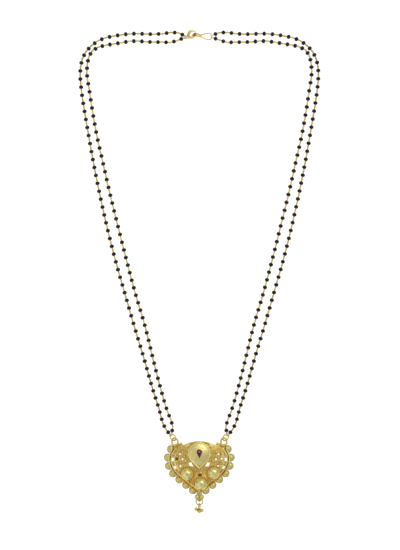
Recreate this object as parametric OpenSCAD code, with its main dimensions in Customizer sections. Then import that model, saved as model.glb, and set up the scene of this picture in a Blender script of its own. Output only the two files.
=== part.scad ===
// Mangalsutra: a necklace of two rows of black beads on linked gold wire, with a filigree
// pendant and a hook clasp, lying flat on its back. +Z is up, the clasp lies towards +Y, and
// the origin is on the pendant's back, under its teardrop shield.

/* [Beads] */
// Diameter of a black bead
bead_d = 2.6; // [2.2:0.1:2.7]
// Length of a black bead along its wire
bead_len = 2.1; // [1.6:0.1:2.2]
// Clear room all round the wire in a bead's hole
bore_clearance = 0.15; // [0.1:0.05:0.25]

/* [Strands] */
// Distance between two link joints along a strand
link_pitch = 4.78; // [4.7:0.02:6]
// Diameter of the strand wire
strand_wire_d = 0.45; // [0.35:0.05:0.5]
// Inner diameter of a strand's end eyes
eye_inner_d = 1.3; // [1.2:0.05:1.4]

/* [Pendant plate] */
// Width of the pendant between its widest border discs' centres
pendant_w = 37.8; // [36:0.2:44]
// Height of the pendant from its top edge to the point of its plate
pendant_h = 31.4; // [29:0.2:36]
// Thickness of the pierced plate
plate_t = 1.0; // [0.8:0.1:1.4]
// Rise of the top edge's arc
top_rise = 2.2; // [1.6:0.1:3]
// Width of a rim wire
rim_wire_w = 0.8; // [0.5:0.05:0.9]
// Height of a rim wire above the plate
rim_wire_h = 0.9; // [0.5:0.05:1.2]
// Distance of the outer rim wire inside the border discs' centres
rim_inset = 2.1; // [1.7:0.05:2.3]
// Open distance between the two rim wires at the lens gaps
rim_gap = 1.1; // [0.6:0.05:1.2]

/* [Border discs] */
// Diameter of a border disc
disc_d = 4.8; // [4.2:0.1:4.8]
// Height of a border disc's edge
disc_edge_h = 0.7; // [0.5:0.05:1]
// Height of a border disc's crown
disc_crown_h = 1.7; // [1.3:0.05:2.2]

/* [Shield and stone] */
// Width of the teardrop shield
shield_w = 13.0; // [12:0.2:14]
// Length of the teardrop shield
shield_l = 15.6; // [14.6:0.2:16.4]
// Height of the shield's crown
shield_crown_h = 3.4; // [3:0.1:4]
// Height of the shield's rim wire
shield_rim_h = 2.9; // [2.5:0.1:3.2]
// Width of the shield's rim wire
shield_rim_w = 0.8; // [0.6:0.05:1]
// Width of the pear stone
stone_w = 2.9; // [2.4:0.1:3.2]
// Length of the pear stone
stone_l = 4.9; // [4.2:0.1:5.4]
// Height of the stone above its seat
stone_h = 1.7; // [1.4:0.1:2]
// Depth of the stone's seat in the shield
seat_depth = 1.1; // [0.8:0.1:1.3]
// Room between the stone and its seat
seat_clearance = 0.1; // [0.05:0.01:0.15]

/* [Ball domes and granules] */
// Diameter of a ball dome at its foot
ball_d = 7.8; // [7.2:0.1:8]
// Height of a ball dome above the plate
ball_h = 2.9; // [2.4:0.1:3.2]
// Wall of a ball dome, which is open at the back
ball_wall = 0.6; // [0.4:0.05:0.9]
// Wire of a ball dome's seat ring
seat_ring_wire_d = 0.8; // [0.5:0.05:0.9]
// Diameter of a granule
granule_d = 1.3; // [1.1:0.05:1.5]
// Diameter of a scroll's centre line
scroll_d = 2.3; // [2:0.05:2.5]
// Wire of a scroll
scroll_wire_d = 0.5; // [0.4:0.05:0.6]
// Diameter of a round piercing
piercing_d = 1.1; // [0.8:0.05:1.2]

/* [Loops and rings] */
// Wire of the corner loops
loop_wire_d = 1.0; // [0.8:0.05:1]
// Width of a corner loop's centre line
loop_w = 3.5; // [3.5:0.05:3.9]
// Length of a corner loop's straight sides
loop_straight = 1.0; // [0.8:0.1:1.4]
// Height of a corner loop's centre line
loop_z = 2.15; // [2.1:0.05:2.4]
// Wire of the end rings
end_ring_wire_d = 0.7; // [0.6:0.05:0.75]
// Diameter of an end ring's centre line
end_ring_d = 4.2; // [4.1:0.05:4.3]
// Wire of the drop ring
drop_ring_wire_d = 0.7; // [0.5:0.05:0.8]
// Diameter of the drop ring's centre line
drop_ring_d = 4.0; // [3.8:0.05:4.3]
// Room round the drop ring in its tab
tab_clearance = 0.15; // [0.1:0.05:0.2]
// Height of the V tab
tab_h = 2.5; // [2.4:0.1:2.8]
// Diameter of the drop's small balls
drop_ball_d = 2.4; // [2.2:0.1:2.5]

/* [Clasp] */
// Wire of the hook's long eye
hook_wire_d = 0.75; // [0.6:0.05:0.8]
// Thickness of the hook's band
band_t = 0.6; // [0.5:0.05:0.65]
// Width of the band where its curl begins
band_w = 2.0; // [1.8:0.1:2]
// Diameter of the curl's centre line
curl_d = 4.9; // [4.7:0.1:5.2]
// Wire of the clasp ring
clasp_ring_wire_d = 0.6; // [0.5:0.05:0.6]
// Diameter of the clasp ring's centre line
clasp_ring_d = 3.6; // [3.5:0.05:3.7]

/* [Hidden] */

gold = [0.80, 0.67, 0.30];
black = [0.12, 0.13, 0.17];
maroon = [0.28, 0.05, 0.10];

// Routes of the two left half strands from the clasp to the pendant, as X and Y of points that
// the strand passes; its two ends are worked out from the rings that hold them.
outer_route = [[-14, 254.4], [-20, 253.5], [-29, 253], [-39, 253.4], [-48.5, 252.4], [-58, 250.4],
    [-62.5, 247.8], [-66.2, 244.8], [-69, 241], [-70.8, 236], [-71.5, 229], [-70.9, 221],
    [-69.6, 211.5], [-66.5, 193], [-63.3, 175], [-59.5, 156], [-54.9, 135.5], [-49.8, 115.5],
    [-44.5, 97], [-39.2, 78.5], [-33.6, 60], [-28.5, 42], [-23.9, 27.5], [-22.3, 20.7],
    [-19.9, 15.8]];
inner_route = [[-13.4, 249.1], [-17, 248], [-24, 248.4], [-29, 248.2], [-39, 249], [-48.5, 247.6],
    [-57.5, 246.1], [-62.5, 244.4], [-65.6, 241.2], [-67, 236], [-67.4, 228.5], [-66, 220],
    [-64.4, 209], [-61.5, 192.5], [-58, 177], [-53.6, 157.5], [-48.8, 138], [-43.4, 116.5],
    [-38.2, 97], [-32.7, 78.5], [-27.4, 57], [-23.6, 42], [-19.7, 28.5], [-17.8, 23.5],
    [-16.1, 19.7], [-15.9, 17.2]];
route_steps = 12;
// Shares of a strand's length that its links have used up at shares of their count
outer_spacing = [[0, 0], [0.2, 0.205], [0.4, 0.409], [0.6, 0.611], [0.8, 0.811], [0.9, 0.9075],
    [1, 1]];
inner_spacing = [[0, 0], [0.16, 0.163], [0.25, 0.248], [0.4, 0.4025], [0.6, 0.606], [0.8, 0.803],
    [1, 1]];

// Place of the origin below the pendant's top edge
origin_below_top = 9;

// Border discs of one half, as shares of half the pendant's width and of its height from the top
disc_shares = [[0.905, 0.155], [1.00, 0.315], [0.965, 0.475], [0.835, 0.62], [0.635, 0.735],
    [0.42, 0.84], [0.205, 0.942]];
// Shoulder and point of the border line, as the same shares
shoulder_share = [0.70, 0.03];
point_share = [0.0, 1.03];
// End of the top edge's arc, as a share of half the width
top_arc_share = 0.5;
// Scrolls with a granule each, of one half, as the same shares
scroll_shares = [[0.65, 0.137], [0.54, 0.207], [0.466, 0.29], [0.445, 0.382], [0.696, 0.229],
    [0.618, 0.312], [0.592, 0.408]];
// Loose granules of one half, as the same shares
granule_shares = [[0.77, 0.165], [0.735, 0.395], [0.69, 0.475]];
// Round piercings of one half, as the same shares
piercing_shares = [[0.618, 0.25], [0.53, 0.347], [0.717, 0.336], [0.597, 0.478]];
// Lens gaps of one half, as first and last position along the border line
lens_spans = [[1.95, 2.5], [3.3, 3.7]];
// Start of the outer rim wire, and both ends of the second, along the border line
outer_rim_from = 0.6;
second_rim_span = [1, 4.3];
second_rim_height_share = 0.8;
// Three ball domes, as shares of half the width and of the height
ball_shares = [[-0.39, 0.632], [0.452, 0.612], [0.05, 0.822]];
// Granules beside the loops, and between the shield's point and the lowest ball
shoulder_granule_share = [0.575, 0.045];
point_granule_share = [0.045, 0.605];
// Wedge gap beside the shield's point, as the same shares, in one half
wedge_shares = [[0.34, 0.42], [0.26, 0.405], [0.19, 0.485], [0.30, 0.473]];
// Leaf beside the shield's top
leaf_share = [0.375, 0.085];
leaf_l = 4.6;
leaf_w = 1.8;
leaf_h = 0.7;
leaf_turn = -32;
// Granules along the top edge, and the share of its arc that they take
crown_granules = 9;
crown_spread = 0.6;
corner_loop_share = [0.776, 0.013];
// How far the plate's edge lies inside the border discs' centres, and points of a border step
plate_inset = 0.4;
border_steps = 4;
// How far the shield's rim laps over the top edge's wire
shield_lap = 0.1;
// Step from the shield's rim down to the edge of its crown, and steps of its round outline
shield_rim_step = 0.7;
shield_steps = 28;
// Middle of the stone's round end, steps of its outline, and heights and sizes of its levels
stone_y = 2.4;
stone_steps = 9;
stone_girdle = [0.65, 0.85];
stone_base_share = 0.6;
stone_table_share = 0.5;
// Lobe of the V tab, and the spread and drop of its two lobes, half its top's width, and its
// shoulders beside and below a lobe's middle, as shares of the lobe
tab_lobe_d = 2.9;
tab_spread = 0.48;
tab_drop = 0.75;
tab_top_share = 0.4;
tab_shoulder = [0.37, 0.3];
// Groove between the lobes, as its width, length and depth
tab_groove = [0.5, 1.5, 0.6];
seat_ring_room = 0.05;

// Places and leans of the rings
end_ring_offset = [-1.13, 2.61, -0.25];
end_ring_lean = 46;
end_ring_heading = 40;
clasp_ring_at = [-6.95, 251.15, 3.4];
clasp_ring_lean = 64;
clasp_ring_heading = 100;
cluster_loop_lean = 65;

// Where the outer and the inner strand hook on the rings, as angles round them
end_ring_eyes = [102, 66];
clasp_ring_eyes = [34, 80];
// Where they hook on the hook's long eye, as places in its list of points
hook_eyes = [4, 5];

// The curl's centre, its long axis, its lean about that axis, and the arc that it covers
curl_at = [-4.75, 252.9];
curl_turn = 60;
curl_lean = 50;
curl_from = 272;
curl_to = -14;
curl_step = 13;
// The flared tip, along the curl's long axis and across it
curl_tip = [2.65, -1.85];
// Centre line of the band's shank, with its width there as a share of the band's, and that share
// at the curl's tip
shank_points = [[1.5, 252.0, 0.9], [0.4, 252.2, 0.9], [-0.6, 252.45, 0.9], [-1.5, 252.7, 0.9],
    [-2.4, 252.8, 0.88]];
shank_shares = [0.7, 0.8, 0.9, 0.97, 1];
tip_share = 0.6;
// Turn of the band's width from level to the curl's axis, at its first points
twist_shares = [0, 0, 0.05, 0.2, 0.5, 0.85];
// Corners of a band's section, as shares of its half width and half thickness
band_section = [[1, 0.4], [0.8, 1], [-0.8, 1], [-1, 0.4], [-1, -0.4], [-0.8, -1], [0.8, -1],
    [1, -0.4]];
// Centre line of the long eye, from one corner of the shank's end to the other
eye_points = [[0.6, 252.4, 0.9], [2.7, 253.1, 0.95], [5.2, 253.6, 1.1], [6.7, 253.2, 1.25],
    [7.4, 252.3, 1.3], [7.5, 251.1, 1.3], [6.9, 250.1, 1.25], [5.2, 249.8, 1.1],
    [3.4, 250.3, 0.95], [0.7, 251.6, 0.9]];

// A strand's end eye: its neck's length and the arc of its wire
eye_neck = 0.15;
eye_from = 40;
eye_to = 320;
// The drop cluster's loop, and its balls as shares of a ball's diameter from the loop's foot
cluster_loop_w = 2;
cluster_loop_straight = 1.4;
cluster_loop_hang = 0.9;
cluster_wire_d = 0.6;
drop_balls = [[-0.79, 0], [-0.02, -0.52], [0.63, -0.3]];

wire_sides = 6;
mesh_fn = 48;
floor_room = 0.02;

function unit(v) = v / norm(v);
function half_w() = pendant_w / 2;
function share_point(s) = [s[0] * half_w(), origin_below_top - s[1] * pendant_h];
function share_points(list) = [for (s = list) share_point(s)];
function mirrored(points) = [for (p = points) [-p[0], p[1]]];
function reversed(list) = [for (i = [len(list) - 1:-1:0]) list[i]];
function raised(p, z) = [p[0], p[1], z];

// A point of the smooth curve through the listed points, at place u counted in points
function curve_point(p, u) =
    let (last = len(p) - 1, i = min(floor(u), last - 1), t = u - i,
         a = i > 0 ? p[i - 1] : 2 * p[0] - p[1], b = p[i], c = p[i + 1],
         d = i + 2 <= last ? p[i + 2] : 2 * p[last] - p[last - 1])
    0.5 * (2 * b + (c - a) * t + (2 * a - 5 * b + 4 * c - d) * t * t
        + (3 * b - a - 3 * c + d) * t * t * t);
function curve(p, steps) = [for (k = [0:(len(p) - 1) * steps]) curve_point(p, k / steps)];
function directions(p) =
    [for (i = [0:len(p) - 1]) unit(p[min(i + 1, len(p) - 1)] - p[max(i - 1, 0)])];

// A wire along any centre line, as flat-sided rings that don't twist along it
function sideways(d) = [for (i = 0, n = unit(cross(d[0], [0.31, 0.17, 1])); i < len(d);
    i = i + 1, n = i < len(d) ? unit(n - (n * d[i]) * d[i]) : n) n];
module wire(path, wire_d) {
    d = directions(path);
    n = sideways(d);
    count = len(path);
    points = [for (i = [0:count - 1], k = [0:wire_sides - 1])
        path[i] + wire_d / 2 * (cos(360 * k / wire_sides) * n[i]
            + sin(360 * k / wire_sides) * cross(d[i], n[i]))];
    sides = [for (i = [0:count - 2], k = [0:wire_sides - 1], half = [0, 1])
        let (a = i * wire_sides + k, b = i * wire_sides + (k + 1) % wire_sides)
        half == 0 ? [a, b + wire_sides, b] : [a, a + wire_sides, b + wire_sides]];
    start_cap = [for (k = [0:wire_sides - 1]) k];
    end_cap = [for (k = [wire_sides - 1:-1:0]) (count - 1) * wire_sides + k];
    polyhedron(points, concat(sides, [start_cap], [end_cap]));
}

// A round ring is its centre, its axis's lean from upright, the heading of that lean, and the
// radius of its centre line.
function ring_u(r) = [cos(r[2]) * cos(r[1]), sin(r[2]) * cos(r[1]), -sin(r[1])];
function ring_v(r) = [-sin(r[2]), cos(r[2]), 0];
function ring_point(r, a) = r[0] + r[3] * (cos(a) * ring_u(r) + sin(a) * ring_v(r));
function ring_tangent(r, a) = cos(a) * ring_v(r) - sin(a) * ring_u(r);
module ring(r, wire_d) {
    translate(r[0])
    rotate([0, r[1], r[2]])
    rotate_extrude($fn = mesh_fn)
    translate([r[3], 0])
    circle(d = wire_d, $fn = 24);
}

// The necklace's rings, of the left side
corner_loop_at = share_point(corner_loop_share);
corner_loop_left = raised(mirrored([corner_loop_at])[0], loop_z);
end_ring = [corner_loop_left + end_ring_offset, end_ring_lean, end_ring_heading,
    end_ring_d / 2];
clasp_ring = [clasp_ring_at, clasp_ring_lean, clasp_ring_heading, clasp_ring_d / 2];

// The drop's ring lies level in the tab, and the cluster's loop hangs on its far side
tab_point = share_point([0, 1]);
drop_ring_at = [0, tab_point[1] - tab_lobe_d - drop_ring_d / 2, tab_h / 2];
drop_ring = [drop_ring_at, 0, 0, drop_ring_d / 2];
cluster_loop_at = [0, drop_ring_at[1] - drop_ring_d / 2 - cluster_loop_hang,
    cluster_loop_w / 2 * sin(cluster_loop_lean) + cluster_wire_d / 2 + floor_room];

// A hook is the point on a ring's wire where a strand's eye holds it, and the wire's direction
// there. A strand is its route, its spacing, and the hooks of its two ends.
function ring_hook(r, a) = [ring_point(r, a), ring_tangent(r, a)];
function eye_hook(i) = let (p = eye_points[i]) [[-p[0], p[1], p[2]], [0, 1, 0]];
outer_left = [outer_route, outer_spacing, ring_hook(clasp_ring, clasp_ring_eyes[0]),
    ring_hook(end_ring, end_ring_eyes[0])];
inner_left = [inner_route, inner_spacing, ring_hook(clasp_ring, clasp_ring_eyes[1]),
    ring_hook(end_ring, end_ring_eyes[1])];
outer_right = [outer_route, outer_spacing, eye_hook(hook_eyes[0]), outer_left[3]];
inner_right = [inner_route, inner_spacing, eye_hook(hook_eyes[1]), inner_left[3]];

function strand_line(strand) = curve(concat([strand[2][0]],
    [for (p = strand[0]) raised(p, bead_d / 2)], [strand[3][0]]), route_steps);
function lengths_along(p) = [for (i = 0, s = 0; i < len(p); i = i + 1,
    s = i < len(p) ? s + norm(p[i] - p[i - 1]) : s) s];
function joints(strand) =
    let (line = strand_line(strand), s = lengths_along(line), total = s[len(s) - 1],
         links = round(total / link_pitch),
         table = [for (axis = [0:2]) [for (i = [0:len(s) - 1]) [s[i], line[i][axis]]]])
    [for (i = [0:links]) let (at = total * lookup(i / links, strand[1]))
        [lookup(at, table[0]), lookup(at, table[1]), max(lookup(at, table[2]), bead_d / 2)]];
function end_eye(hook, from) =
    let (d = unit(hook[0] - from), up = unit(cross(hook[1], d)),
         r = eye_inner_d / 2 + strand_wire_d / 2)
    concat([hook[0] - d * (r + eye_neck)], [for (a = [eye_from:(eye_to - eye_from) / 8:eye_to])
        hook[0] + r * (sin(a) * up - cos(a) * d)]);
module strand_wire(strand) {
    j = joints(strand);
    last = len(j) - 1;
    inner_joints = [for (i = [1:last - 1]) j[i]];
    wire(concat(reversed(end_eye(strand[2], j[1])), inner_joints,
        end_eye(strand[3], j[last - 1])), strand_wire_d);
}
module bead() {
    rotate_extrude($fn = mesh_fn)
    intersection() {
        circle(d = bead_d, $fn = mesh_fn);
        translate([strand_wire_d / 2 + bore_clearance, -bead_len / 2])
        square([bead_d, bead_len]);
    }
}
module strand_beads(strand) {
    j = joints(strand);
    for (i = [1:len(j) - 1]) {
        d = unit(j[i] - j[i - 1]);
        translate((j[i] + j[i - 1]) / 2)
        rotate([0, acos(d[2]), atan2(d[1], d[0])])
        bead();
    }
}
module right_side() {
    mirror([1, 0, 0])
    children();
}

module wire_outer_left() color(gold) strand_wire(outer_left);
module wire_inner_left() color(gold) strand_wire(inner_left);
module wire_outer_right() color(gold) right_side() strand_wire(outer_right);
module wire_inner_right() color(gold) right_side() strand_wire(inner_right);
module beads_outer_left() color(black) strand_beads(outer_left);
module beads_inner_left() color(black) strand_beads(inner_left);
module beads_outer_right() color(black) right_side() strand_beads(outer_right);
module beads_inner_right() color(black) right_side() strand_beads(inner_right);

module end_ring_left() color(gold) ring(end_ring, end_ring_wire_d);
module end_ring_right() color(gold) right_side() ring(end_ring, end_ring_wire_d);
module clasp_ring() color(gold) ring(clasp_ring, clasp_ring_wire_d);

// A band along a centre line, with its half width and its direction at each point
module band(path, half) {
    d = directions(path);
    count = len(band_section);
    points = [for (i = [0:len(path) - 1], c = band_section)
        path[i] + c[0] * half[i] + c[1] * band_t / 2 * unit(cross(d[i], half[i]))];
    sides = [for (i = [0:len(path) - 2], k = [0:count - 1], part = [0, 1])
        let (a = i * count + k, b = i * count + (k + 1) % count)
        part == 0 ? [a, b + count, b] : [a, a + count, b + count]];
    start_cap = [for (k = [0:count - 1]) k];
    end_cap = [for (k = [count - 1:-1:0]) (len(path) - 1) * count + k];
    polyhedron(points, concat(sides, [start_cap], [end_cap]));
}

// Hook: a flat band whose shank widens into a curl, with a long wire eye at its other end
curl_long = [cos(curl_turn), sin(curl_turn), 0];
curl_across = [-sin(curl_turn) * cos(curl_lean), cos(curl_turn) * cos(curl_lean), sin(curl_lean)];
curl_axis = cross(curl_long, curl_across);
band_low = band_w / 2 * cos(curl_lean) + band_t / 2 * sin(curl_lean);
curl_centre = raised(curl_at, curl_d / 2 * sin(curl_lean) + band_low + floor_room);
function curl_point(at) = curl_centre + at[0] * curl_long + at[1] * curl_across;
function twisted(i) = let (share = i < len(twist_shares) ? twist_shares[i] : 1)
    unit((1 - share) * [0, 1, 0] - share * curl_axis);
module hook_clasp() {
    angles = [for (a = [curl_from:-curl_step:curl_to]) a];
    path = concat(shank_points, [for (a = angles) curl_point(curl_d / 2 * [cos(a), sin(a)])],
        [curl_point(curl_tip)]);
    steps = len(angles);
    shares = concat(shank_shares, [for (i = [0:steps]) 1 + (tip_share - 1) * i / steps]);
    color(gold) {
        band(path, [for (i = [0:len(path) - 1]) band_w / 2 * shares[i] * twisted(i)]);
        wire(curve(eye_points, 2), hook_wire_d);
    }
}

// Pendant
border = share_points(concat([shoulder_share], disc_shares, [point_share]));
border_end = len(border) - 1;
function inset_point(u, d) =
    let (from = min(u, border_end - 0.01),
         t = unit(curve_point(border, from + 0.01) - curve_point(border, from)))
    curve_point(border, u) + d * [t[1], -t[0]];
function inset_line(from, to, d) = let (n = ceil(border_steps * (to - from)))
    [for (k = [0:n]) let (p = inset_point(from + (to - from) * k / n, d)) [max(p[0], 0), p[1]]];
top_arc_x = top_arc_share * half_w();
top_arc_r = (top_arc_x * top_arc_x + top_rise * top_rise) / (2 * top_rise);
top_arc_angle = asin(top_arc_x / top_arc_r);
function top_arc(d) = [for (k = [0:8]) let (a = top_arc_angle * k / 8)
    [(top_arc_r - d) * sin(a), origin_below_top - top_arc_r + (top_arc_r - d) * cos(a)]];
function closed_outline(half) = concat(half, reversed(mirrored(half)));

module both_sides() {
    children();
    mirror([1, 0, 0])
    children();
}
module strip(inner, outer, z, h) {
    translate([0, 0, z])
    linear_extrude(h)
    polygon(concat(inner, reversed(outer)));
}
function teardrop(r, reach, steps) =
    let (turn = asin(r / reach))
    concat([for (k = [0:steps]) let (a = -turn + (180 + 2 * turn) * k / steps)
        r * [cos(a), sin(a)]], [[0, -reach]]);
shield_r = shield_w / 2;
shield_reach = shield_l - shield_r;
shield_y = origin_below_top - rim_wire_w + shield_lap - shield_rim_w / 4 - shield_r;
function shield_outline(d) =
    teardrop(shield_r + d, shield_reach * (shield_r + d) / shield_r, shield_steps);
stone_r = stone_w / 2;
stone_reach = stone_l - stone_r;
function stone_outline(d) =
    teardrop(stone_r + d, stone_reach * (stone_r + d) / stone_r, stone_steps);

module plate() {
    half = concat(top_arc(0), inset_line(0, border_end, plate_inset));
    linear_extrude(plate_t)
    polygon(closed_outline(half));
}
module pierced_gaps() {
    translate([0, 0, -1])
    linear_extrude(plate_t + 2)
    both_sides() {
        for (s = piercing_shares)
            translate(share_point(s))
            circle(d = piercing_d, $fn = 24);
        for (span = lens_spans)
            polygon(concat(inset_line(span[0], span[1], rim_inset + rim_wire_w / 2),
                reversed(inset_line(span[0], span[1], rim_inset + rim_wire_w / 2 + rim_gap))));
        polygon(share_points(wedge_shares));
    }
}
module rim_wires() {
    outer = rim_inset - rim_wire_w / 2;
    second = rim_inset + rim_wire_w / 2 + rim_gap;
    both_sides() {
        strip(inset_line(outer_rim_from, border_end, outer),
            inset_line(outer_rim_from, border_end, outer + rim_wire_w),
            plate_t / 2, plate_t / 2 + rim_wire_h);
        strip(inset_line(second_rim_span[0], second_rim_span[1], second),
            inset_line(second_rim_span[0], second_rim_span[1], second + rim_wire_w),
            plate_t / 2, plate_t / 2 + rim_wire_h * second_rim_height_share);
    }
    strip(concat(reversed(mirrored(top_arc(0))), top_arc(0)),
        concat(reversed(mirrored(top_arc(rim_wire_w))), top_arc(rim_wire_w)),
        plate_t / 2, plate_t / 2 + rim_wire_h);
}
// A domed disc: its crown is part of a large ball
module border_disc() {
    rise = disc_crown_h - disc_edge_h;
    crown_r = (disc_d * disc_d / 4 + rise * rise) / (2 * rise);
    intersection() {
        cylinder(d = disc_d, h = disc_crown_h + 1, $fn = mesh_fn);
        translate([0, 0, disc_crown_h - crown_r])
        sphere(r = crown_r, $fn = mesh_fn);
        translate([-disc_d, -disc_d, 0])
        cube([2 * disc_d, 2 * disc_d, disc_crown_h + 1]);
    }
}
module granule(at, d) {
    translate(raised(at, plate_t))
    sphere(d = d, $fn = 24);
}
module scrolls() {
    both_sides() for (s = scroll_shares) {
        granule(share_point(s), granule_d);
        ring([raised(share_point(s), plate_t), 0, 0, scroll_d / 2], scroll_wire_d);
    }
    both_sides() for (s = granule_shares)
        granule(share_point(s), granule_d);
}
// A row of granules along the top edge's wire
module crown() {
    for (i = [0:crown_granules - 1]) {
        a = top_arc_angle * crown_spread * (2 * i / (crown_granules - 1) - 1);
        translate([(top_arc_r - rim_wire_w / 2) * sin(a),
            origin_below_top - top_arc_r + (top_arc_r - rim_wire_w / 2) * cos(a),
            plate_t + rim_wire_h])
        sphere(d = granule_d, $fn = 24);
    }
}
module leaf() {
    arc_r = (leaf_l * leaf_l + leaf_w * leaf_w) / (4 * leaf_w);
    linear_extrude(plate_t + leaf_h)
    intersection_for (side = [-1, 1])
        translate([0, side * (arc_r - leaf_w / 2)])
        circle(r = arc_r, $fn = mesh_fn);
}
module shield() {
    edge_h = shield_rim_h - shield_rim_step;
    rise = shield_crown_h - edge_h;
    crown_r = (shield_r * shield_r + rise * rise) / (2 * rise);
    translate([0, shield_y, 0]) {
        intersection() {
            linear_extrude(shield_crown_h + 1)
            polygon(shield_outline(0));
            translate([0, 0, shield_crown_h - crown_r])
            sphere(r = crown_r, $fn = mesh_fn * 2);
            translate([-shield_l, -shield_l, 0])
            cube([2 * shield_l, 2 * shield_l, shield_crown_h + 1]);
        }
        linear_extrude(shield_rim_h)
        difference() {
            polygon(shield_outline(shield_rim_w / 4));
            polygon(shield_outline(-shield_rim_w * 3 / 4));
        }
    }
}
// The ball of which a dome is a cap, made smaller by the wall for the hollow in it
ball_r = (ball_d * ball_d / 4 + ball_h * ball_h) / (2 * ball_h);
module dome_ball(at, wall) {
    translate(raised(at, plate_t + ball_h - ball_r))
    sphere(r = ball_r - wall, $fn = mesh_fn);
}
// A long ring: two half rings joined by straight sides along Y
module oval(w, straight, wire_d) {
    for (side = [-1, 1]) {
        translate([0, side * straight / 2, 0])
        rotate([0, 0, side > 0 ? 0 : 180])
        rotate_extrude(angle = 180, $fn = mesh_fn)
        translate([w / 2, 0])
        circle(d = wire_d, $fn = 24);
        translate([side * w / 2, 0, 0])
        rotate([90, 0, 0])
        cylinder(d = wire_d, h = straight, $fn = 24, center = true);
    }
}
module corner_loops() {
    both_sides() {
        translate(raised(corner_loop_at, loop_z))
        oval(loop_w, loop_straight, loop_wire_d);
        translate([corner_loop_at[0], corner_loop_at[1] - (loop_w + loop_straight) / 2, 0])
        cylinder(d = loop_wire_d * 2, h = loop_z, $fn = 24);
    }
}
module tab() {
    top = tab_point[1] + tab_lobe_d / 2;
    lobe_y = tab_point[1] - tab_lobe_d * tab_drop;
    low_x = tab_lobe_d * (tab_spread + tab_shoulder[0]);
    low_y = lobe_y - tab_lobe_d * tab_shoulder[1];
    difference() {
        linear_extrude(tab_h)
        union() {
            for (side = [-1, 1])
                translate([side * tab_lobe_d * tab_spread, lobe_y])
                circle(d = tab_lobe_d, $fn = mesh_fn);
            polygon([[-low_x, low_y], [-tab_lobe_d * tab_top_share, top],
                [tab_lobe_d * tab_top_share, top], [low_x, low_y],
                [0, drop_ring_at[1] - drop_ring_wire_d / 2]]);
        }
        ring(drop_ring, drop_ring_wire_d + 2 * tab_clearance);
        translate([-tab_groove[0] / 2, lobe_y - tab_groove[1] / 2, tab_h - tab_groove[2]])
        cube(tab_groove);
    }
}
module pendant() {
    color(gold)
    difference() {
        union() {
            difference() {
                plate();
                pierced_gaps();
            }
            rim_wires();
            both_sides() for (s = disc_shares)
                translate(share_point(s))
                border_disc();
            scrolls();
            crown();
            both_sides() {
                translate(share_point(leaf_share))
                rotate(leaf_turn)
                leaf();
                granule(share_point(shoulder_granule_share), granule_d * 1.3);
            }
            shield();
            granule(share_point(point_granule_share), granule_d * 1.4);
            for (s = ball_shares)
                intersection() {
                    dome_ball(share_point(s), 0);
                    translate(raised(share_point(s) - [ball_d, ball_d], 0))
                    cube([2 * ball_d, 2 * ball_d, 2 * ball_d]);
                }
            for (s = ball_shares)
                ring([raised(share_point(s), plate_t), 0, 0,
                    ball_d / 2 + seat_ring_wire_d / 2 + seat_ring_room], seat_ring_wire_d);
            corner_loops();
            tab();
        }
        for (s = ball_shares)
            dome_ball(share_point(s), ball_wall);
        translate([0, stone_y, shield_crown_h - seat_depth])
        linear_extrude(2 * seat_depth)
        polygon(stone_outline(seat_clearance));
    }
}

// Stone: flat-based, with a girdle, a crown of facets and a table
module pear_stone() {
    outline = stone_outline(0);
    count = len(outline);
    levels = [[stone_base_share, 0], [1, seat_depth * stone_girdle[0]],
        [1, seat_depth * stone_girdle[1]], [stone_table_share, stone_h]];
    points = [for (l = levels, p = outline) raised(l[0] * p, l[1])];
    sides = [for (i = [0:len(levels) - 2], k = [0:count - 1])
        let (a = i * count + k, b = i * count + (k + 1) % count)
        [a, a + count, b + count, b]];
    base = [for (k = [0:count - 1]) k];
    table = [for (k = [count - 1:-1:0]) (len(levels) - 1) * count + k];
    color(maroon)
    translate([0, stone_y, shield_crown_h - seat_depth + seat_clearance])
    polyhedron(points, concat(sides, [base], [table]));
}

module drop_ring() color(gold) ring(drop_ring, drop_ring_wire_d);
module drop_cluster() {
    foot = cluster_loop_at[1] - (cluster_loop_w + cluster_loop_straight) / 2;
    color(gold) {
        translate(cluster_loop_at)
        rotate([0, cluster_loop_lean, 0])
        oval(cluster_loop_w, cluster_loop_straight, cluster_wire_d);
        for (b = drop_balls)
            translate([b[0] * drop_ball_d, foot + b[1] * drop_ball_d, drop_ball_d / 2])
            sphere(d = drop_ball_d, $fn = 24);
    }
}

pendant();
pear_stone();
end_ring_left();
end_ring_right();
drop_ring();
drop_cluster();
hook_clasp();
clasp_ring();
wire_outer_left();
wire_inner_left();
wire_outer_right();
wire_inner_right();
beads_outer_left();
beads_inner_left();
beads_outer_right();
beads_inner_right();
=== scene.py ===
import random
from math import acos, asin, atan2, ceil, cos, exp, pi, radians, sin, sqrt

import bmesh
import bpy
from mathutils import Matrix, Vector


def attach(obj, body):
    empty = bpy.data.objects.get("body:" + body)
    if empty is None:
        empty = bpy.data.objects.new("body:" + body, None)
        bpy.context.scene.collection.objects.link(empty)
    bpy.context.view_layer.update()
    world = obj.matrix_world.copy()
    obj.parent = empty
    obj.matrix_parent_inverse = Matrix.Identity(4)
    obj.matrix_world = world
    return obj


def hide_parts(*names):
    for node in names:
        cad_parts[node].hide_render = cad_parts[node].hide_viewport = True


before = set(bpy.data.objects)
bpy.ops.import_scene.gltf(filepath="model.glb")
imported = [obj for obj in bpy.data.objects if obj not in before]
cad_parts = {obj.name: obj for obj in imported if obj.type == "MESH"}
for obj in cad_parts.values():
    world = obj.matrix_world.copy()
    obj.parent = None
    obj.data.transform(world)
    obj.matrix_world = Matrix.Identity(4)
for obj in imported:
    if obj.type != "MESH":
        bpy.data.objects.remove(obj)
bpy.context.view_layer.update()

# Every shape below is worked out in millimetres and stored in metres.
MM = 0.001
UP = Vector((0, 0, 1))
scene = bpy.context.scene


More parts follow.
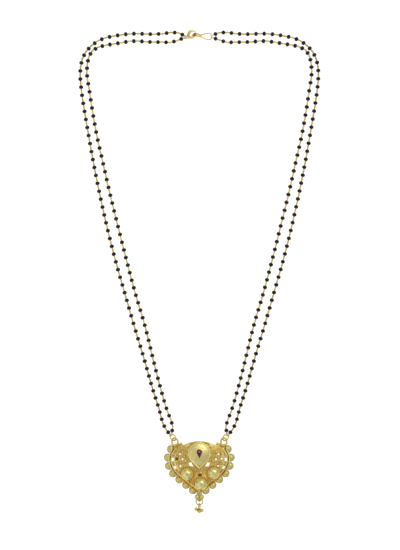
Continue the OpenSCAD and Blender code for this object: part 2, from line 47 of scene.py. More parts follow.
def shown(name, data):
    """A new object in the scene."""
    thing = bpy.data.objects.new(name, data)
    scene.collection.objects.link(thing)
    return thing


# Camera and lights

VIEW_MM = 330  # what the picture's height covers on the floor
VIEW_AT = (0.42, 108.6)
CAMERA_HEIGHT_MM, SENSOR_MM = 3000, 36
data = bpy.data.cameras.new("camera")
data.sensor_width = SENSOR_MM
data.lens = SENSOR_MM * CAMERA_HEIGHT_MM / VIEW_MM
data.clip_end = 20
camera = shown("camera", data)
camera.location = (VIEW_AT[0] * MM, VIEW_AT[1] * MM, CAMERA_HEIGHT_MM * MM)
scene.camera = camera
scene.view_settings.view_transform = "Standard"


def area_light(name, at, size, power, colour):
    data = bpy.data.lights.new(name, "AREA")
    data.shape = "RECTANGLE"
    data.size, data.size_y = size
    data.energy, data.color = power, colour
    lamp = shown(name, data)
    lamp.location = at
    lamp.rotation_euler = (Vector(LIT) - Vector(at)).to_track_quat("-Z", "Y").to_euler()


LIT = (0, 0.11, 0)  # what the lights are turned to
area_light("key_light", (0.35, 0.6, 1.05), (0.9, 0.7), 3.2, (1, 0.985, 0.96))
area_light("fill_light", (-0.8, -0.1, 0.9), (0.7, 0.9), 1, (0.97, 0.985, 1))
area_light("low_light", (-0.3, -0.8, 0.6), (0.8, 0.5), 0.66, (1, 1, 1))

world = bpy.data.worlds.new("studio")
world.use_nodes = True
sky = world.node_tree.nodes["Background"].inputs
sky["Color"].default_value = (0.98, 0.99, 1, 1)
sky["Strength"].default_value = 0.58
scene.world = world


# Materials


def new_material(name):
    m = bpy.data.materials.new(name)
    m.use_nodes = True
    tree = m.node_tree
    return m, tree, tree.nodes["Principled BSDF"]


def feed(tree, socket, value):
    """Links a socket to another node's output, or sets it."""
    if isinstance(value, bpy.types.NodeSocket):
        tree.links.new(value, socket)
    else:
        socket.default_value = value


def fill(tree, n, **values):
    for name, value in values.items():
        feed(tree, n.inputs[name.replace("_", " ")], value)
    return n


def node(tree, kind, **values):
    """A new shader node with its named inputs filled."""
    return fill(tree, tree.nodes.new("ShaderNode" + kind), **values)


def noise(tree, scale, detail, distortion=0.0, at=None):
    """Noise in the object's own space, or over the vector at."""
    if at is None:
        at = node(tree, "TexCoord").outputs["Object"]
    n = node(tree, "TexNoise", Vector=at, Scale=scale, Detail=detail, Distortion=distortion)
    return n.outputs["Fac"]


def ramp(tree, value, stops):
    r = node(tree, "ValToRGB", Fac=value)
    elements = r.color_ramp.elements
    for element, (at, colour) in zip(elements, (stops[0], stops[-1])):
        element.position, element.color = at, (*colour, 1)
    for at, colour in stops[1:-1]:
        elements.new(at).color = (*colour, 1)
    return r.outputs["Color"]


NOISE_LOW, NOISE_HIGH = 0.3, 0.7  # where most of the noise lies


def blotches(tree, scale, a, b, detail=3):
    """Two colours that blend over noise."""
    return ramp(tree, noise(tree, scale, detail), [(NOISE_LOW, a), (NOISE_HIGH, b)])


def spread(tree, value, low, high, from_low=NOISE_LOW, from_high=NOISE_HIGH):
    n = node(tree, "MapRange", Value=value, From_Min=from_low, From_Max=from_high,
             To_Min=low, To_Max=high)
    return n.outputs["Result"]


def mix(tree, factor, a, b, kind="MIX"):
    n = node(tree, "Mix")
    n.data_type = "RGBA"
    n.blend_type = kind
    for name, value in (("Factor", factor), ("A", a), ("B", b)):
        socket = [i for i in n.inputs if i.name == name and i.enabled][0]
        feed(tree, socket, (*value, 1) if isinstance(value, tuple) else value)
    return [o for o in n.outputs if o.enabled][0]


def plus(tree, a, b, kind="ADD"):
    n = node(tree, "Math")
    n.operation = kind
    n.use_clamp = kind == "ADD"
    feed(tree, n.inputs[0], a)
    feed(tree, n.inputs[1], b)
    return n.outputs["Value"]


def bumps(tree, height, depth_mm):
    n = node(tree, "Bump", Height=height, Distance=depth_mm * MM, Strength=1.0)
    return n.outputs["Normal"]


def gold(name, light, dark, rough=(0.24, 0.38), grain_mm=0.02, streak=None, patch=(-0.14, 0.2)):
    """Gold plate, darkened by painted shade where its recess attribute is high. patch is how far
    blotches lighten and darken it.
    """
    m, tree, shader = new_material(name)
    blotch = noise(tree, 900, 5)
    attribute = node(tree, "Attribute")
    attribute.attribute_name = "deep"  # how much painted shade a point gets, mostly for lying deep in a recess, 0 to 1
    # painted shade from the attribute, plus random blotches of tone, picks the colour
    shade_and_blotch = plus(tree, attribute.outputs["Fac"], spread(tree, blotch, *patch))
    colour = ramp(tree, shade_and_blotch, [(0.05, light), (0.45, mean(light, dark, 0.45)), (0.95, dark)])
    shade = blotches(tree, 260, (0.9, 0.9, 0.84), (1, 1, 1))
    scratch = noise(tree, 5200, 3, 0.4)
    dull = plus(tree, spread(tree, scratch, *rough), plus(tree, shade_and_blotch, 0.12, "MULTIPLY"))
    grain = plus(tree, blotch, scratch)
    if streak:
        at = node(tree, "UVMap")
        at.uv_map = "brush"
        stretch = node(tree, "Mapping", Vector=at.outputs["UV"], Scale=streak)
        grain = noise(tree, 1, 3, at=stretch.outputs["Vector"])
    fill(tree, shader, Base_Color=mix(tree, 1.0, colour, shade, "MULTIPLY"), Metallic=1,
         Roughness=dull, Normal=bumps(tree, grain, grain_mm))
    return m


def mean(a, b, share):
    return tuple(x + (y - x) * share for x, y in zip(a, b))


GOLD_DARK = (0.72, 0.37, 0.06)
OLIVE_DARK = (0.34, 0.23, 0.06)
gold_field = gold("gold_field", (0.88, 0.73, 0.25), (0.58, 0.33, 0.06), (0.24, 0.4), 0.03,
                  patch=(-0.3, 0.45))
gold_rim = gold("gold_rim", (0.96, 0.85, 0.38), GOLD_DARK, patch=(-0.2, 0.3))
# A darker, oranger copy of gold for the seat rings, painted to stand in for shade and gold-on-gold
# reflection at the domes' feet
gold_amber = gold("gold_amber", (0.92, 0.6, 0.14), (0.75, 0.38, 0.06))
gold_olive = gold("gold_olive", (0.78, 0.65, 0.22), OLIVE_DARK, (0.24, 0.4), 0.03,
                  patch=(-0.2, 0.35))
# A near-black copy of gold: painted shadow for the dark spots on the pendant
gold_shadow = gold("gold_shadow", (0.2, 0.14, 0.035), (0.07, 0.045, 0.012), (0.4, 0.55), 0.03)
gold_satin = gold("gold_satin", (0.82, 0.72, 0.31), GOLD_DARK, (0.3, 0.44),
                  streak=(160, 2.5, 1), patch=(-0.3, 0.42))
gold_ring = gold("gold_ring", (0.74, 0.6, 0.2), (0.5, 0.27, 0.05))
gold_wire = gold("gold_wire", (0.94, 0.8, 0.32), GOLD_DARK)
gold_dome = gold("gold_dome", (0.88, 0.78, 0.33), OLIVE_DARK, (0.26, 0.4), 0.05)
gold_disc = gold("gold_disc", (0.74, 0.64, 0.24), OLIVE_DARK, (0.34, 0.5), 0.06,
                 patch=(-0.25, 0.35))
pale_gold = gold("pale_gold", (0.76, 0.62, 0.25), (0.5, 0.24, 0.06), (0.22, 0.36),
                 patch=(-0.2, 0.3))


def black_glass():
    m, tree, shader = new_material("black_glass")
    body = blotches(tree, 240, (0.006, 0.008, 0.016), (0.016, 0.02, 0.034))
    fill(tree, shader, Base_Color=body, Roughness=spread(tree, noise(tree, 2600, 4), 0.2, 0.34),
         IOR=1.25, Normal=bumps(tree, noise(tree, 1400, 2), 0.03))
    return m


STONE_SHADE_MM = 4  # the stone's painted shade is darkest this far from its painted glint


def stone_glass(middle_mm):
    """Maroon glass with painted shade that darkens it away from its middle, and a painted glint on
    its table.
    """
    m, tree, shader = new_material("maroon_stone")
    body = blotches(tree, 1100, (0.06, 0.003, 0.012), (0.13, 0.006, 0.026))
    off = node(tree, "VectorMath")
    off.operation = "DISTANCE"
    feed(tree, off.inputs[0], node(tree, "TexCoord").outputs["Object"])
    feed(tree, off.inputs[1], Vector(middle_mm) * MM)
    # how far from the painted glint, as a share of STONE_SHADE_MM; the painted shade grows with it
    depth = plus(tree, off.outputs["Value"], 1 / MM / STONE_SHADE_MM, "MULTIPLY")
    shade = ramp(tree, depth,
                 [(0.14, (1, 1, 1)), (0.34, (0.55, 0.5, 0.5)), (0.6, (0.12, 0.1, 0.1))])
    glint = spread(tree, depth, 0.85, 0.0, 0.1, 0.2)
    dark = mix(tree, 1.0, body, shade, "MULTIPLY")
    fill(tree, shader, Base_Color=mix(tree, glint, dark, (0.5, 0.26, 0.36)), IOR=1.38,
         Roughness=spread(tree, noise(tree, 5000, 2), 0.03, 0.09),
         Normal=bumps(tree, noise(tree, 2500, 2), 0.004))
    return m


def paper():
    m, tree, shader = new_material("paper")
    tone = blotches(tree, 18, (0.48, 0.48, 0.48), (0.52, 0.52, 0.52), 4)
    fill(tree, shader, Base_Color=tone, Roughness=0.9, Specular_IOR_Level=0.2,
         Emission_Color=(1, 1, 1, 1), Emission_Strength=0.9)
    return m


black_glass_bead = black_glass()
maroon_stone = stone_glass((0, 2.7, 4.0))

floor_mesh = bpy.data.meshes.new("floor")
FLOOR_HALF = 3  # metres
corners = [(x * FLOOR_HALF, y * FLOOR_HALF, 0) for x, y in ((-1, -1), (1, -1), (1, 1), (-1, 1))]
floor_mesh.from_pydata(corners, [], [(0, 1, 2, 3)])
floor_mesh.materials.append(paper())
floor = shown("floor", floor_mesh)


# Shapes


SHARP_FROM = 50  # degrees between two faces


def solid_mesh(name, points, faces):
    """A mesh with its faces turned outward."""
    mesh = bpy.data.meshes.new(name)
    mesh.from_pydata(points, [], faces)
    work = bmesh.new()
    work.from_mesh(mesh)
    bmesh.ops.recalc_face_normals(work, faces=work.faces)
    work.to_mesh(mesh)
    work.free()
    return mesh


def taken_back(thing, merge, even=False):
    """An object's points and faces after its modifiers, with points that meet merged."""
    depsgraph = bpy.context.evaluated_depsgraph_get()
    mesh = bpy.data.meshes.new_from_object(thing.evaluated_get(depsgraph))
    work = bmesh.new()
    work.from_mesh(mesh)
    bmesh.ops.remove_doubles(work, verts=work.verts, dist=merge)
    if even:
        bmesh.ops.dissolve_degenerate(work, dist=merge, edges=work.edges)
    work.verts.index_update()
    points = [v.co.copy() for v in work.verts]
    faces = [tuple(v.index for v in f.verts) for f in work.faces]
    work.free()
    bpy.data.meshes.remove(mesh)
    return points, faces


class Shape:
    """Points in millimetres, faces, and how much painted shade each point gets, mostly for lying
    deep in a recess.
    """

    def __init__(self, points=(), faces=(), deep=0.0):
        self.points, self.faces, self.deep, self.brush = [], [], [], []
        self.add(points, faces, deep)

    def add(self, points, faces, deep=0.0):
        """The painted shade is one value, a value for each point, or a function of a point."""
        first = len(self.points)
        self.points += [Vector(p) for p in points]
        self.faces += [tuple(i + first for i in f) for f in faces]
        if callable(deep):
            deep = [deep(p) for p in points]
        self.deep = self.deep + (deep if isinstance(deep, list) else [deep] * len(points))

    def mirrored(self):
        return Shape(mirror(self.points), [f[::-1] for f in self.faces], self.deep)

    def piece(self, name, material, stands_for=("pendant",), slot="gold"):
        """Makes the visible piece that stands for CAD nodes."""
        mesh = solid_mesh(name, [p * MM for p in self.points], self.faces)
        mesh.attributes.new("deep", "FLOAT", "POINT").data.foreach_set("value", self.deep)
        if self.brush:
            layer = mesh.uv_layers.new(name="brush")
            for corner, loop in zip(layer.data, mesh.loops):
                corner.uv = self.brush[loop.vertex_index]
        mesh.materials.append(material)
        mesh.shade_smooth()
        mesh.set_sharp_from_angle(angle=radians(SHARP_FROM))
        thing = shown(name, mesh)
        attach(thing, "root")
        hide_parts(*stands_for)


def by_height(low, high, most=0.95, least=0.0):
    """A painted shade value that falls from most at the height low to least at high, so lower
    points are painted darker.
    """

    def value(p):
        t = min(max((p[2] - low) / (high - low), 0), 1)
        return most + (least - most) * t * t * (3 - 2 * t)

    return value


def across(d):
    side = d.cross(UP)
    return side.normalized() if side.length > 0.01 else Vector((1, 0, 0))


# A round end's rings, as shares of the wire's radius: their own radius, and how far out they lie
ROUND_END = ((0.75, 0.6), (0.35, 0.9))


def headings(path, closed=False):
    """The direction at each point of a path."""
    before, after = (path[-1:], path[:1]) if closed else (path[:1], path[-1:])
    return [(b - a).normalized() for a, b in zip(before + path[:-1], path[1:] + after)]


def run_of(line):
    """How far along a line each of its points lies."""
    run = [0.0]
    for a, b in zip(line, line[1:]):
        run.append(run[-1] + (b - a).length)
    return run


def tube(path, radius, sides, closed=False, round_ends=False):
    """A round wire along a path, of one radius or of one for each point."""
    path = [Vector(p) for p in path]
    n = len(path)
    radii = radius if isinstance(radius, (list, tuple)) else [radius] * n
    way = headings(path, closed)
    side = across(way[0])
    sides_at = []
    for d in way + way[:1]:
        side = (side - side.dot(d) * d).normalized()
        sides_at.append(side)
    first = sides_at[0]
    slip = atan2(first.cross(side).dot(way[0]), first.dot(side)) if closed else 0
    points = []
    for i in range(n):
        a, b = sides_at[i], way[i].cross(sides_at[i])
        for k in range(sides):
            t = 2 * pi * k / sides - slip * i / n
            points.append(path[i] + radii[i] * (cos(t) * a + sin(t) * b))
    rings = rows_of(n, sides)
    if closed:
        return points, skin(rings + rings[:1], sides)
    faces = skin(rings, sides)
    for i, sign in ((0, -1), (n - 1, 1)):
        ring = rings[i]
        for share, out in ROUND_END if round_ends else ():
            new = range(len(points), len(points) + sides)
            points += [path[i] + (points[k] - path[i]) * share + way[i] * sign * radii[i] * out
                       for k in rings[i]]
            faces += skin([ring, new][::sign], sides)
            ring = new
        faces.append(tuple(ring[::sign]))
    return points, faces


def rows_of(rows, steps):
    """The point numbers of each of several rings, one after another."""
    return [range(i * steps, (i + 1) * steps) for i in range(rows)]


def skin(rings, steps):
    """Faces between rings of point numbers. A ring of one point is a tip."""
    faces = []
    for low, high in zip(rings, rings[1:]):
        for k in range(steps):
            l = (k + 1) % steps
            if len(low) == 1:
                faces.append((low[0], high[l], high[k]))
            elif len(high) == 1:
                faces.append((low[k], low[l], high[0]))
            else:
                faces.append((low[k], low[l], high[l], high[k]))
    return faces


def bar(rows, steps):
    """Faces of a bar of so many rings, with both ends closed."""
    last = rows * steps
    return skin(rows_of(rows, steps), steps) + [tuple(range(steps)),
                                                tuple(range(last - 1, last - steps - 1, -1))]


def wheel(steps):
    """Cosine and sine of equal steps round a circle."""
    return [(cos(t), sin(t)) for t in (2 * pi * k / steps for k in range(steps))]


def lathe(profile, steps, at, axis=UP):
    """A turned form of (radius, height) pairs, solid if it begins on its axis, else a ring."""
    at, axis = Vector(at), Vector(axis).normalized()
    u = across(axis)
    v = axis.cross(u)
    points, rings = [], []
    for r, h in profile:
        count = steps if r else 1
        rings.append(range(len(points), len(points) + count))
        points += [at + axis * h + r * (c * u + s * v)
                   for c, s in wheel(steps)[:count]]
    return points, skin(rings + rings[:1] if profile[0][0] else rings, steps)


def ball(at, r, steps):
    n = steps // 2
    half = [(r * sin(pi * k / n), -r * cos(pi * k / n)) for k in range(1, n)]
    return lathe([(0, -r), *half, (0, r)], steps, at)


ROPE_STEPS = 8


def rope(path, r, sides, lay):
    """Two thin wires twisted round a closed path. A turn is about lay diameters long."""
    line = path + path[:1]
    run, way = run_of(line), [(b - a).normalized() for a, b in zip(line, line[1:])]
    turns = max(1, round(run[-1] / (lay * 2 * r)))
    count = turns * ROPE_STEPS
    out = []
    for half in (0, pi):
        points = []
        for k in range(count):
            s = run[-1] * k / count
            i = max(j for j in range(len(run) - 1) if run[j] <= s + 1e-9)
            t = (s - run[i]) / (run[i + 1] - run[i])
            p, d = line[i] + (line[i + 1] - line[i]) * t, way[i]
            a = across(d)
            b = d.cross(a)
            turn = 2 * pi * turns * k / count + half
            points.append(p + r / 2 * (cos(turn) * a + sin(turn) * b))
        out.append(tube(points, r * 0.52, sides, True))
    return out


def curve_point(p, u):
    """A point of the smooth curve through the points p, at place u counted in points."""
    last = len(p) - 1
    i = min(int(u), last - 1)
    t = u - i
    a = p[i - 1] if i > 0 else 2 * p[0] - p[1]
    b, c = p[i], p[i + 1]
    d = p[i + 2] if i + 2 <= last else 2 * p[last] - p[last - 1]
    return 0.5 * (2 * b + (c - a) * t + (2 * a - 5 * b + 4 * c - d) * t * t
                  + (3 * b - a - 3 * c + d) * t ** 3)


def curve(points, steps):
    points = [Vector(p) for p in points]
    return [curve_point(points, k / steps) for k in range((len(points) - 1) * steps + 1)]


def lookup(x, xs, ys):
    """The value at x on straight lines through the listed points."""
    for a, b, low, high in zip(xs, xs[1:], ys, ys[1:]):
        if x <= b:
            return low + (high - low) * max((x - a) / (b - a), 0)
    return ys[-1]


# Sizes, the same as in the CAD source, in millimetres

BEAD_D, BEAD_LEN, BORE_ROOM = 2.6, 2.1, 0.15
LINK_PITCH, STRAND_WIRE_D, EYE_INNER_D = 4.78, 0.45, 1.3
PENDANT_W, PENDANT_H, PLATE_T, TOP_RISE = 37.8, 31.4, 1.0, 2.2
RIM_W, RIM_H, RIM_INSET, RIM_GAP = 0.8, 0.9, 2.1, 1.1
DISC_D, DISC_EDGE, DISC_CROWN = 4.8, 0.7, 1.7
SHIELD_W, SHIELD_L, SHIELD_CROWN, SHIELD_RIM_H, SHIELD_RIM_W = 13.0, 15.6, 3.4, 2.9, 0.8
STONE_W, STONE_L, SEAT_DEPTH, SEAT_ROOM = 2.9, 4.9, 1.1, 0.1
BALL_D, BALL_H, BALL_WALL, SEAT_WIRE_D, GRANULE_D = 7.8, 2.9, 0.6, 0.8, 1.3
SCROLL_D, SCROLL_WIRE_D, PIERCING_D = 2.3, 0.5, 1.1
LOOP_WIRE_D, LOOP_W, LOOP_STRAIGHT, LOOP_Z = 1.0, 3.5, 1.0, 2.15
END_RING_WIRE_D, END_RING_D = 0.7, 4.2
DROP_RING_WIRE_D, DROP_RING_D, TAB_ROOM, TAB_H, DROP_BALL_D = 0.7, 4.0, 0.15, 2.5, 2.4
HOOK_WIRE_D, BAND_T, BAND_W, CURL_D = 0.75, 0.6, 2.0, 4.9
CLASP_RING_WIRE_D, CLASP_RING_D = 0.6, 3.6
TOP_Y = 9.0
HALF_W = PENDANT_W / 2
FLOOR_ROOM = 0.02


def share_point(s):
    return Vector((s[0] * HALF_W, TOP_Y - s[1] * PENDANT_H, 0))


def spots(*shares):
    return [share_point(s) for s in shares]


def raised(p, z):
    return Vector((p[0], p[1], z))


def flipped(p):
    return Vector((-p[0], p[1], p[2]))


def mirror(points):
    return [flipped(p) for p in points]


def arc_radius(half, rise):
    """The radius of an arc that rises so far over so wide a half."""
    return (half ** 2 + rise ** 2) / (2 * rise)


# Rings

# How much thicker some wires are drawn than the solids have them
END_RING_FULLER, DROP_RING_FULLER = 0.08, 0.06
LOOP_FULLER, CLUSTER_FULLER, SCROLL_FULLER = 0.12, 0.08, 0.06
SEAM_END, SEAM_DROP, SEAM_CLASP = 200, 180, 250


class Ring:
    """A round ring: centre, lean from upright, heading of the lean, radius of its middle."""

    def __init__(self, centre, lean, heading, radius):
        self.centre, self.radius = Vector(centre), radius
        a, h = radians(lean), radians(heading)
        self.u = Vector((cos(h) * cos(a), sin(h) * cos(a), -sin(a)))
        self.v = Vector((-sin(h), cos(h), 0))

    def point(self, angle):
        t = radians(angle)
        return self.centre + self.radius * (cos(t) * self.u + sin(t) * self.v)

    def hook(self, angle):
        """Where a link hooks on, and the way of the wire there."""
        t = radians(angle)
        return self.point(angle), cos(t) * self.v - sin(t) * self.u

    def shape(self, wire_d, seam, steps=56, sides=14):
        """The wire, with a small solder joint at the angle seam, and painted shade that is faint
        all round and darker at the joint's narrow waist.
        """
        path = [self.point(360 * k / steps) for k in range(steps)]
        radii = []
        for k in range(steps):
            off = abs((360 * k / steps - seam + 180) % 360 - 180)
            radii.append(wire_d / 2 * (1 - 0.09 * exp(-(off / 5) ** 2)
                                       + 0.012 * sin(0.9 * k) * sin(0.37 * k)))
        return Shape(*tube(path, radii, sides, closed=True),
                     deep=lambda p: 0.12 + 0.5 * exp(-(p - self.point(seam)).length / 0.4))


corner_at = share_point((0.776, 0.013))
corner_left = Vector((-corner_at.x, corner_at.y, LOOP_Z))
end_ring = Ring(corner_left + Vector((-1.13, 2.61, -0.25)), 46, 40, END_RING_D / 2)
clasp_ring = Ring((-6.95, 251.15, 3.4), 64, 100, CLASP_RING_D / 2)
tab_point = share_point((0, 1))
TAB_LOBE_D = 2.9
drop_ring = Ring((0, tab_point.y - TAB_LOBE_D - DROP_RING_D / 2, TAB_H / 2), 0, 0, DROP_RING_D / 2)

left_end = end_ring.shape(END_RING_WIRE_D + END_RING_FULLER, SEAM_END)
left_end.piece("ring_end_left", gold_ring, ["end_ring_left"])
left_end.mirrored().piece("ring_end_right", gold_ring, ["end_ring_right"])
clasp = clasp_ring.shape(CLASP_RING_WIRE_D, SEAM_CLASP)
clasp.piece("ring_clasp", pale_gold, ["clasp_ring"], "pale_gold")
drop = drop_ring.shape(DROP_RING_WIRE_D + DROP_RING_FULLER, SEAM_DROP)
drop.piece("ring_drop", gold_ring, ["drop_ring"])

# Strands

EYE_POINTS = [(0.6, 252.4, 0.9), (2.7, 253.1, 0.95), (5.2, 253.6, 1.1), (6.7, 253.2, 1.25),
              (7.4, 252.3, 1.3), (7.5, 251.1, 1.3), (6.9, 250.1, 1.25), (5.2, 249.8, 1.1),
              (3.4, 250.3, 0.95), (0.7, 251.6, 0.9)]
# The two rows: a route from the clasp to the pendant, and how much of the way each share of
# its links takes up
OUTER = ([(-14, 254.4), (-20, 253.5), (-29, 253), (-39, 253.4), (-48.5, 252.4), (-58, 250.4),
          (-62.5, 247.8), (-66.2, 244.8), (-69, 241), (-70.8, 236), (-71.5, 229), (-70.9, 221),
          (-69.6, 211.5), (-66.5, 193), (-63.3, 175), (-59.5, 156), (-54.9, 135.5), (-49.8, 115.5),
          (-44.5, 97), (-39.2, 78.5), (-33.6, 60), (-28.5, 42), (-23.9, 27.5), (-22.3, 20.7),
          (-19.9, 15.8)],
         [(0, 0), (0.2, 0.205), (0.4, 0.409), (0.6, 0.611), (0.8, 0.811), (0.9, 0.9075), (1, 1)])
INNER = ([(-13.4, 249.1), (-17, 248), (-24, 248.4), (-29, 248.2), (-39, 249), (-48.5, 247.6),
          (-57.5, 246.1), (-62.5, 244.4), (-65.6, 241.2), (-67, 236), (-67.4, 228.5), (-66, 220),
          (-64.4, 209), (-61.5, 192.5), (-58, 177), (-53.6, 157.5), (-48.8, 138), (-43.4, 116.5),
          (-38.2, 97), (-32.7, 78.5), (-27.4, 57), (-23.6, 42), (-19.7, 28.5), (-17.8, 23.5),
          (-16.1, 19.7), (-15.9, 17.2)],
         [(0, 0), (0.16, 0.163), (0.25, 0.248), (0.4, 0.4025), (0.6, 0.606), (0.8, 0.803), (1, 1)])
ROUTE_STEPS = 12


def eye_hook(i):
    return flipped(EYE_POINTS[i]), Vector((0, 1, 0))


# Each half strand's route and spacing, and what its two end links are hooked on
STRANDS = {
    "outer_left": (*OUTER, clasp_ring.hook(34), end_ring.hook(102)),
    "inner_left": (*INNER, clasp_ring.hook(80), end_ring.hook(66)),
    "outer_right": (*OUTER, eye_hook(4), end_ring.hook(102)),
    "inner_right": (*INNER, eye_hook(5), end_ring.hook(66)),
}


def joints_of(route, spacing, start, end):
    line = curve([start[0], *[raised(p, BEAD_D / 2) for p in route], end[0]], ROUTE_STEPS)
    run = run_of(line)
    links = round(run[-1] / LINK_PITCH)
    shares, used = zip(*spacing)
    out = []
    for i in range(links + 1):
        at = run[-1] * lookup(i / links, shares, used)
        p = [lookup(at, run, [q[k] for q in line]) for k in range(3)]
        out.append(Vector((p[0], p[1], max(p[2], BEAD_D / 2))))
    return out


LINK_WIRE_D = 0.55
WRAP_FROM, WRAP_LEN, WRAP_R = 1.12, 0.4, 0.46
WRAP_TURNS, WRAP_BULGE, WRAP_STEPS, WRAP_CORE = 3, 0.07, 12, 0.16
EYE_HALF_W, EYE_STEPS = 0.66, 14
EYE_PAST_JOINT = 0.205
# Beads away from a strand's ends are drawn a little larger than the solids.
END_BEADS, FREE_BEAD_SIZE, BEAD_TILT = 4, 1.06, 0.05


def link_eye(centre, d, reach, roll):
    """A drawn-out eye from the wraps at a bead's end to just past its joint."""
    side = across(d)
    up = side.cross(d)
    flat = cos(roll) * side + sin(roll) * up
    neck = WRAP_FROM + WRAP_LEN
    path = [centre + d * (neck + (reach - neck) * (1 - c) / 2)
            + flat * EYE_HALF_W * s * (0.82 - 0.18 * c)
            for c, s in wheel(EYE_STEPS)]
    return tube(path, LINK_WIRE_D / 2, 8, closed=True)


def wraps(centre, d):
    """Turns of thin wire round the stem beside a bead."""
    profile = [(WRAP_CORE, WRAP_FROM - 0.03)]
    for k in range(WRAP_STEPS + 1):
        bulge = abs(sin(pi * WRAP_TURNS * k / WRAP_STEPS))
        profile.append((WRAP_R - WRAP_BULGE + WRAP_BULGE * bulge,
                        WRAP_FROM + WRAP_LEN * k / WRAP_STEPS))
    profile.append((WRAP_CORE, WRAP_FROM + WRAP_LEN + 0.06))
    return lathe(profile, 10, centre, d)


def hook_eye(hook, start):
    """The round eye of a strand's last link, on the ring or long eye that holds it."""
    at, along = hook
    d = (at - start).normalized()
    up = along.cross(d).normalized()
    r = EYE_INNER_D / 2 + STRAND_WIRE_D / 2
    circle = [at + r * (s * up - c * d) for c, s in wheel(24)]
    return circle, at - d * (r + 0.05)


def strand_shapes(strand, seed):
    joints = joints_of(*strand)
    rnd = random.Random(seed)
    links, beads = Shape(), Shape()
    half_hole = STRAND_WIRE_D / 2 + BORE_ROOM
    last = len(joints) - 2
    hooks = {(0, -1): (strand[2], joints[1]), (last, 1): (strand[3], joints[-2])}
    for i, (a, b) in enumerate(zip(joints, joints[1:])):
        d = (b - a).normalized()
        centre = (a + b) / 2
        half = (b - a).length / 2
        for sign in (-1, 1):
            way = d * sign
            # painted shade: most on the wraps and the stem between them, least on the eyes
            links.add(*wraps(centre, way), deep=0.55)
            if (i, sign) in hooks:
                circle, neck = hook_eye(*hooks[i, sign])
                links.add(*tube(circle, STRAND_WIRE_D / 2, 10, closed=True), deep=0.15)
                links.add(*tube([centre, centre + way * 1.3, neck], LINK_WIRE_D / 2, 8), deep=0.3)
            else:
                roll = radians(45 * sign + rnd.uniform(-6, 6))
                links.add(*link_eye(centre, way, half + EYE_PAST_JOINT, roll), deep=0.2)
        links.add(*tube([centre - d * 1.5, centre + d * 1.5], STRAND_WIRE_D / 2, 6), deep=0.5)
        tilt = Vector([rnd.uniform(-1, 1) for _ in range(3)]) * BEAD_TILT
        size = rnd.uniform(0.97, 1.0)
        if END_BEADS < i < last - END_BEADS:
            size *= FREE_BEAD_SIZE
        middle = raised(centre, max(centre.z, BEAD_D / 2 * size))
        beads.add(*bead(middle, (d + tilt).normalized(), size, half_hole))
    return links, beads


BEAD_END, BEAD_FULL = 0.31, 0.66


def bead(at, d, size, hole_r):
    """A round bead, a little flat at its ends, with a softened edge round its hole."""
    r, half = BEAD_D / 2 * size, BEAD_LEN / 2
    edge = 0.1
    profile = [(hole_r, -half + edge), (hole_r, 0), (hole_r, half - edge),
               (hole_r + edge * 0.3, half - edge * 0.25), (hole_r + edge, half)]
    for k in range(15):
        t = BEAD_END + (pi - 2 * BEAD_END) * k / 14
        profile.append((r * sin(t) ** BEAD_FULL, half * cos(t) / cos(BEAD_END)))
    profile += [(hole_r + edge, -half), (hole_r + edge * 0.3, -half + edge * 0.25)]
    return lathe(profile, 22, at, d)


for number, (name, strand) in enumerate(STRANDS.items()):
    links, beads = strand_shapes(strand, 11 + number)
    if name.endswith("right"):
        links, beads = links.mirrored(), beads.mirrored()
    links.piece(f"links_{name}", gold_wire, [f"wire_{name}"])
    beads.piece(f"glass_{name}", black_glass_bead, [f"beads_{name}"], "black_glass")

# Hook clasp

CURL_AT, CURL_TURN, CURL_LEAN, CURL_ARC, CURL_STEP = (-4.75, 252.9), 60, 50, (272, -14), 13
CURL_TIP = (2.65, -1.85)
SHANK_POINTS = [(1.5, 252.0, 0.9), (0.4, 252.2, 0.9), (-0.6, 252.45, 0.9), (-1.5, 252.7, 0.9),
                (-2.4, 252.8, 0.88)]
# The band's width along the shank, and at places of the curl from 0 to 1, as shares of BAND_W
SHANK_SHARES = [0.75, 0.9, 1.1, 1.25, 1.3]
CURL_SHARES = (0, 0.12, 0.3, 0.5, 0.62, 0.8, 1), (1.25, 1.1, 1.0, 0.95, 1.1, 1.1, 0.7)
TWIST_SHARES = [0, 0, 0.05, 0.2, 0.5, 0.85]
TWIST_MIDDLE = 4.3  # the band's painted shade is darkest here, counted in points


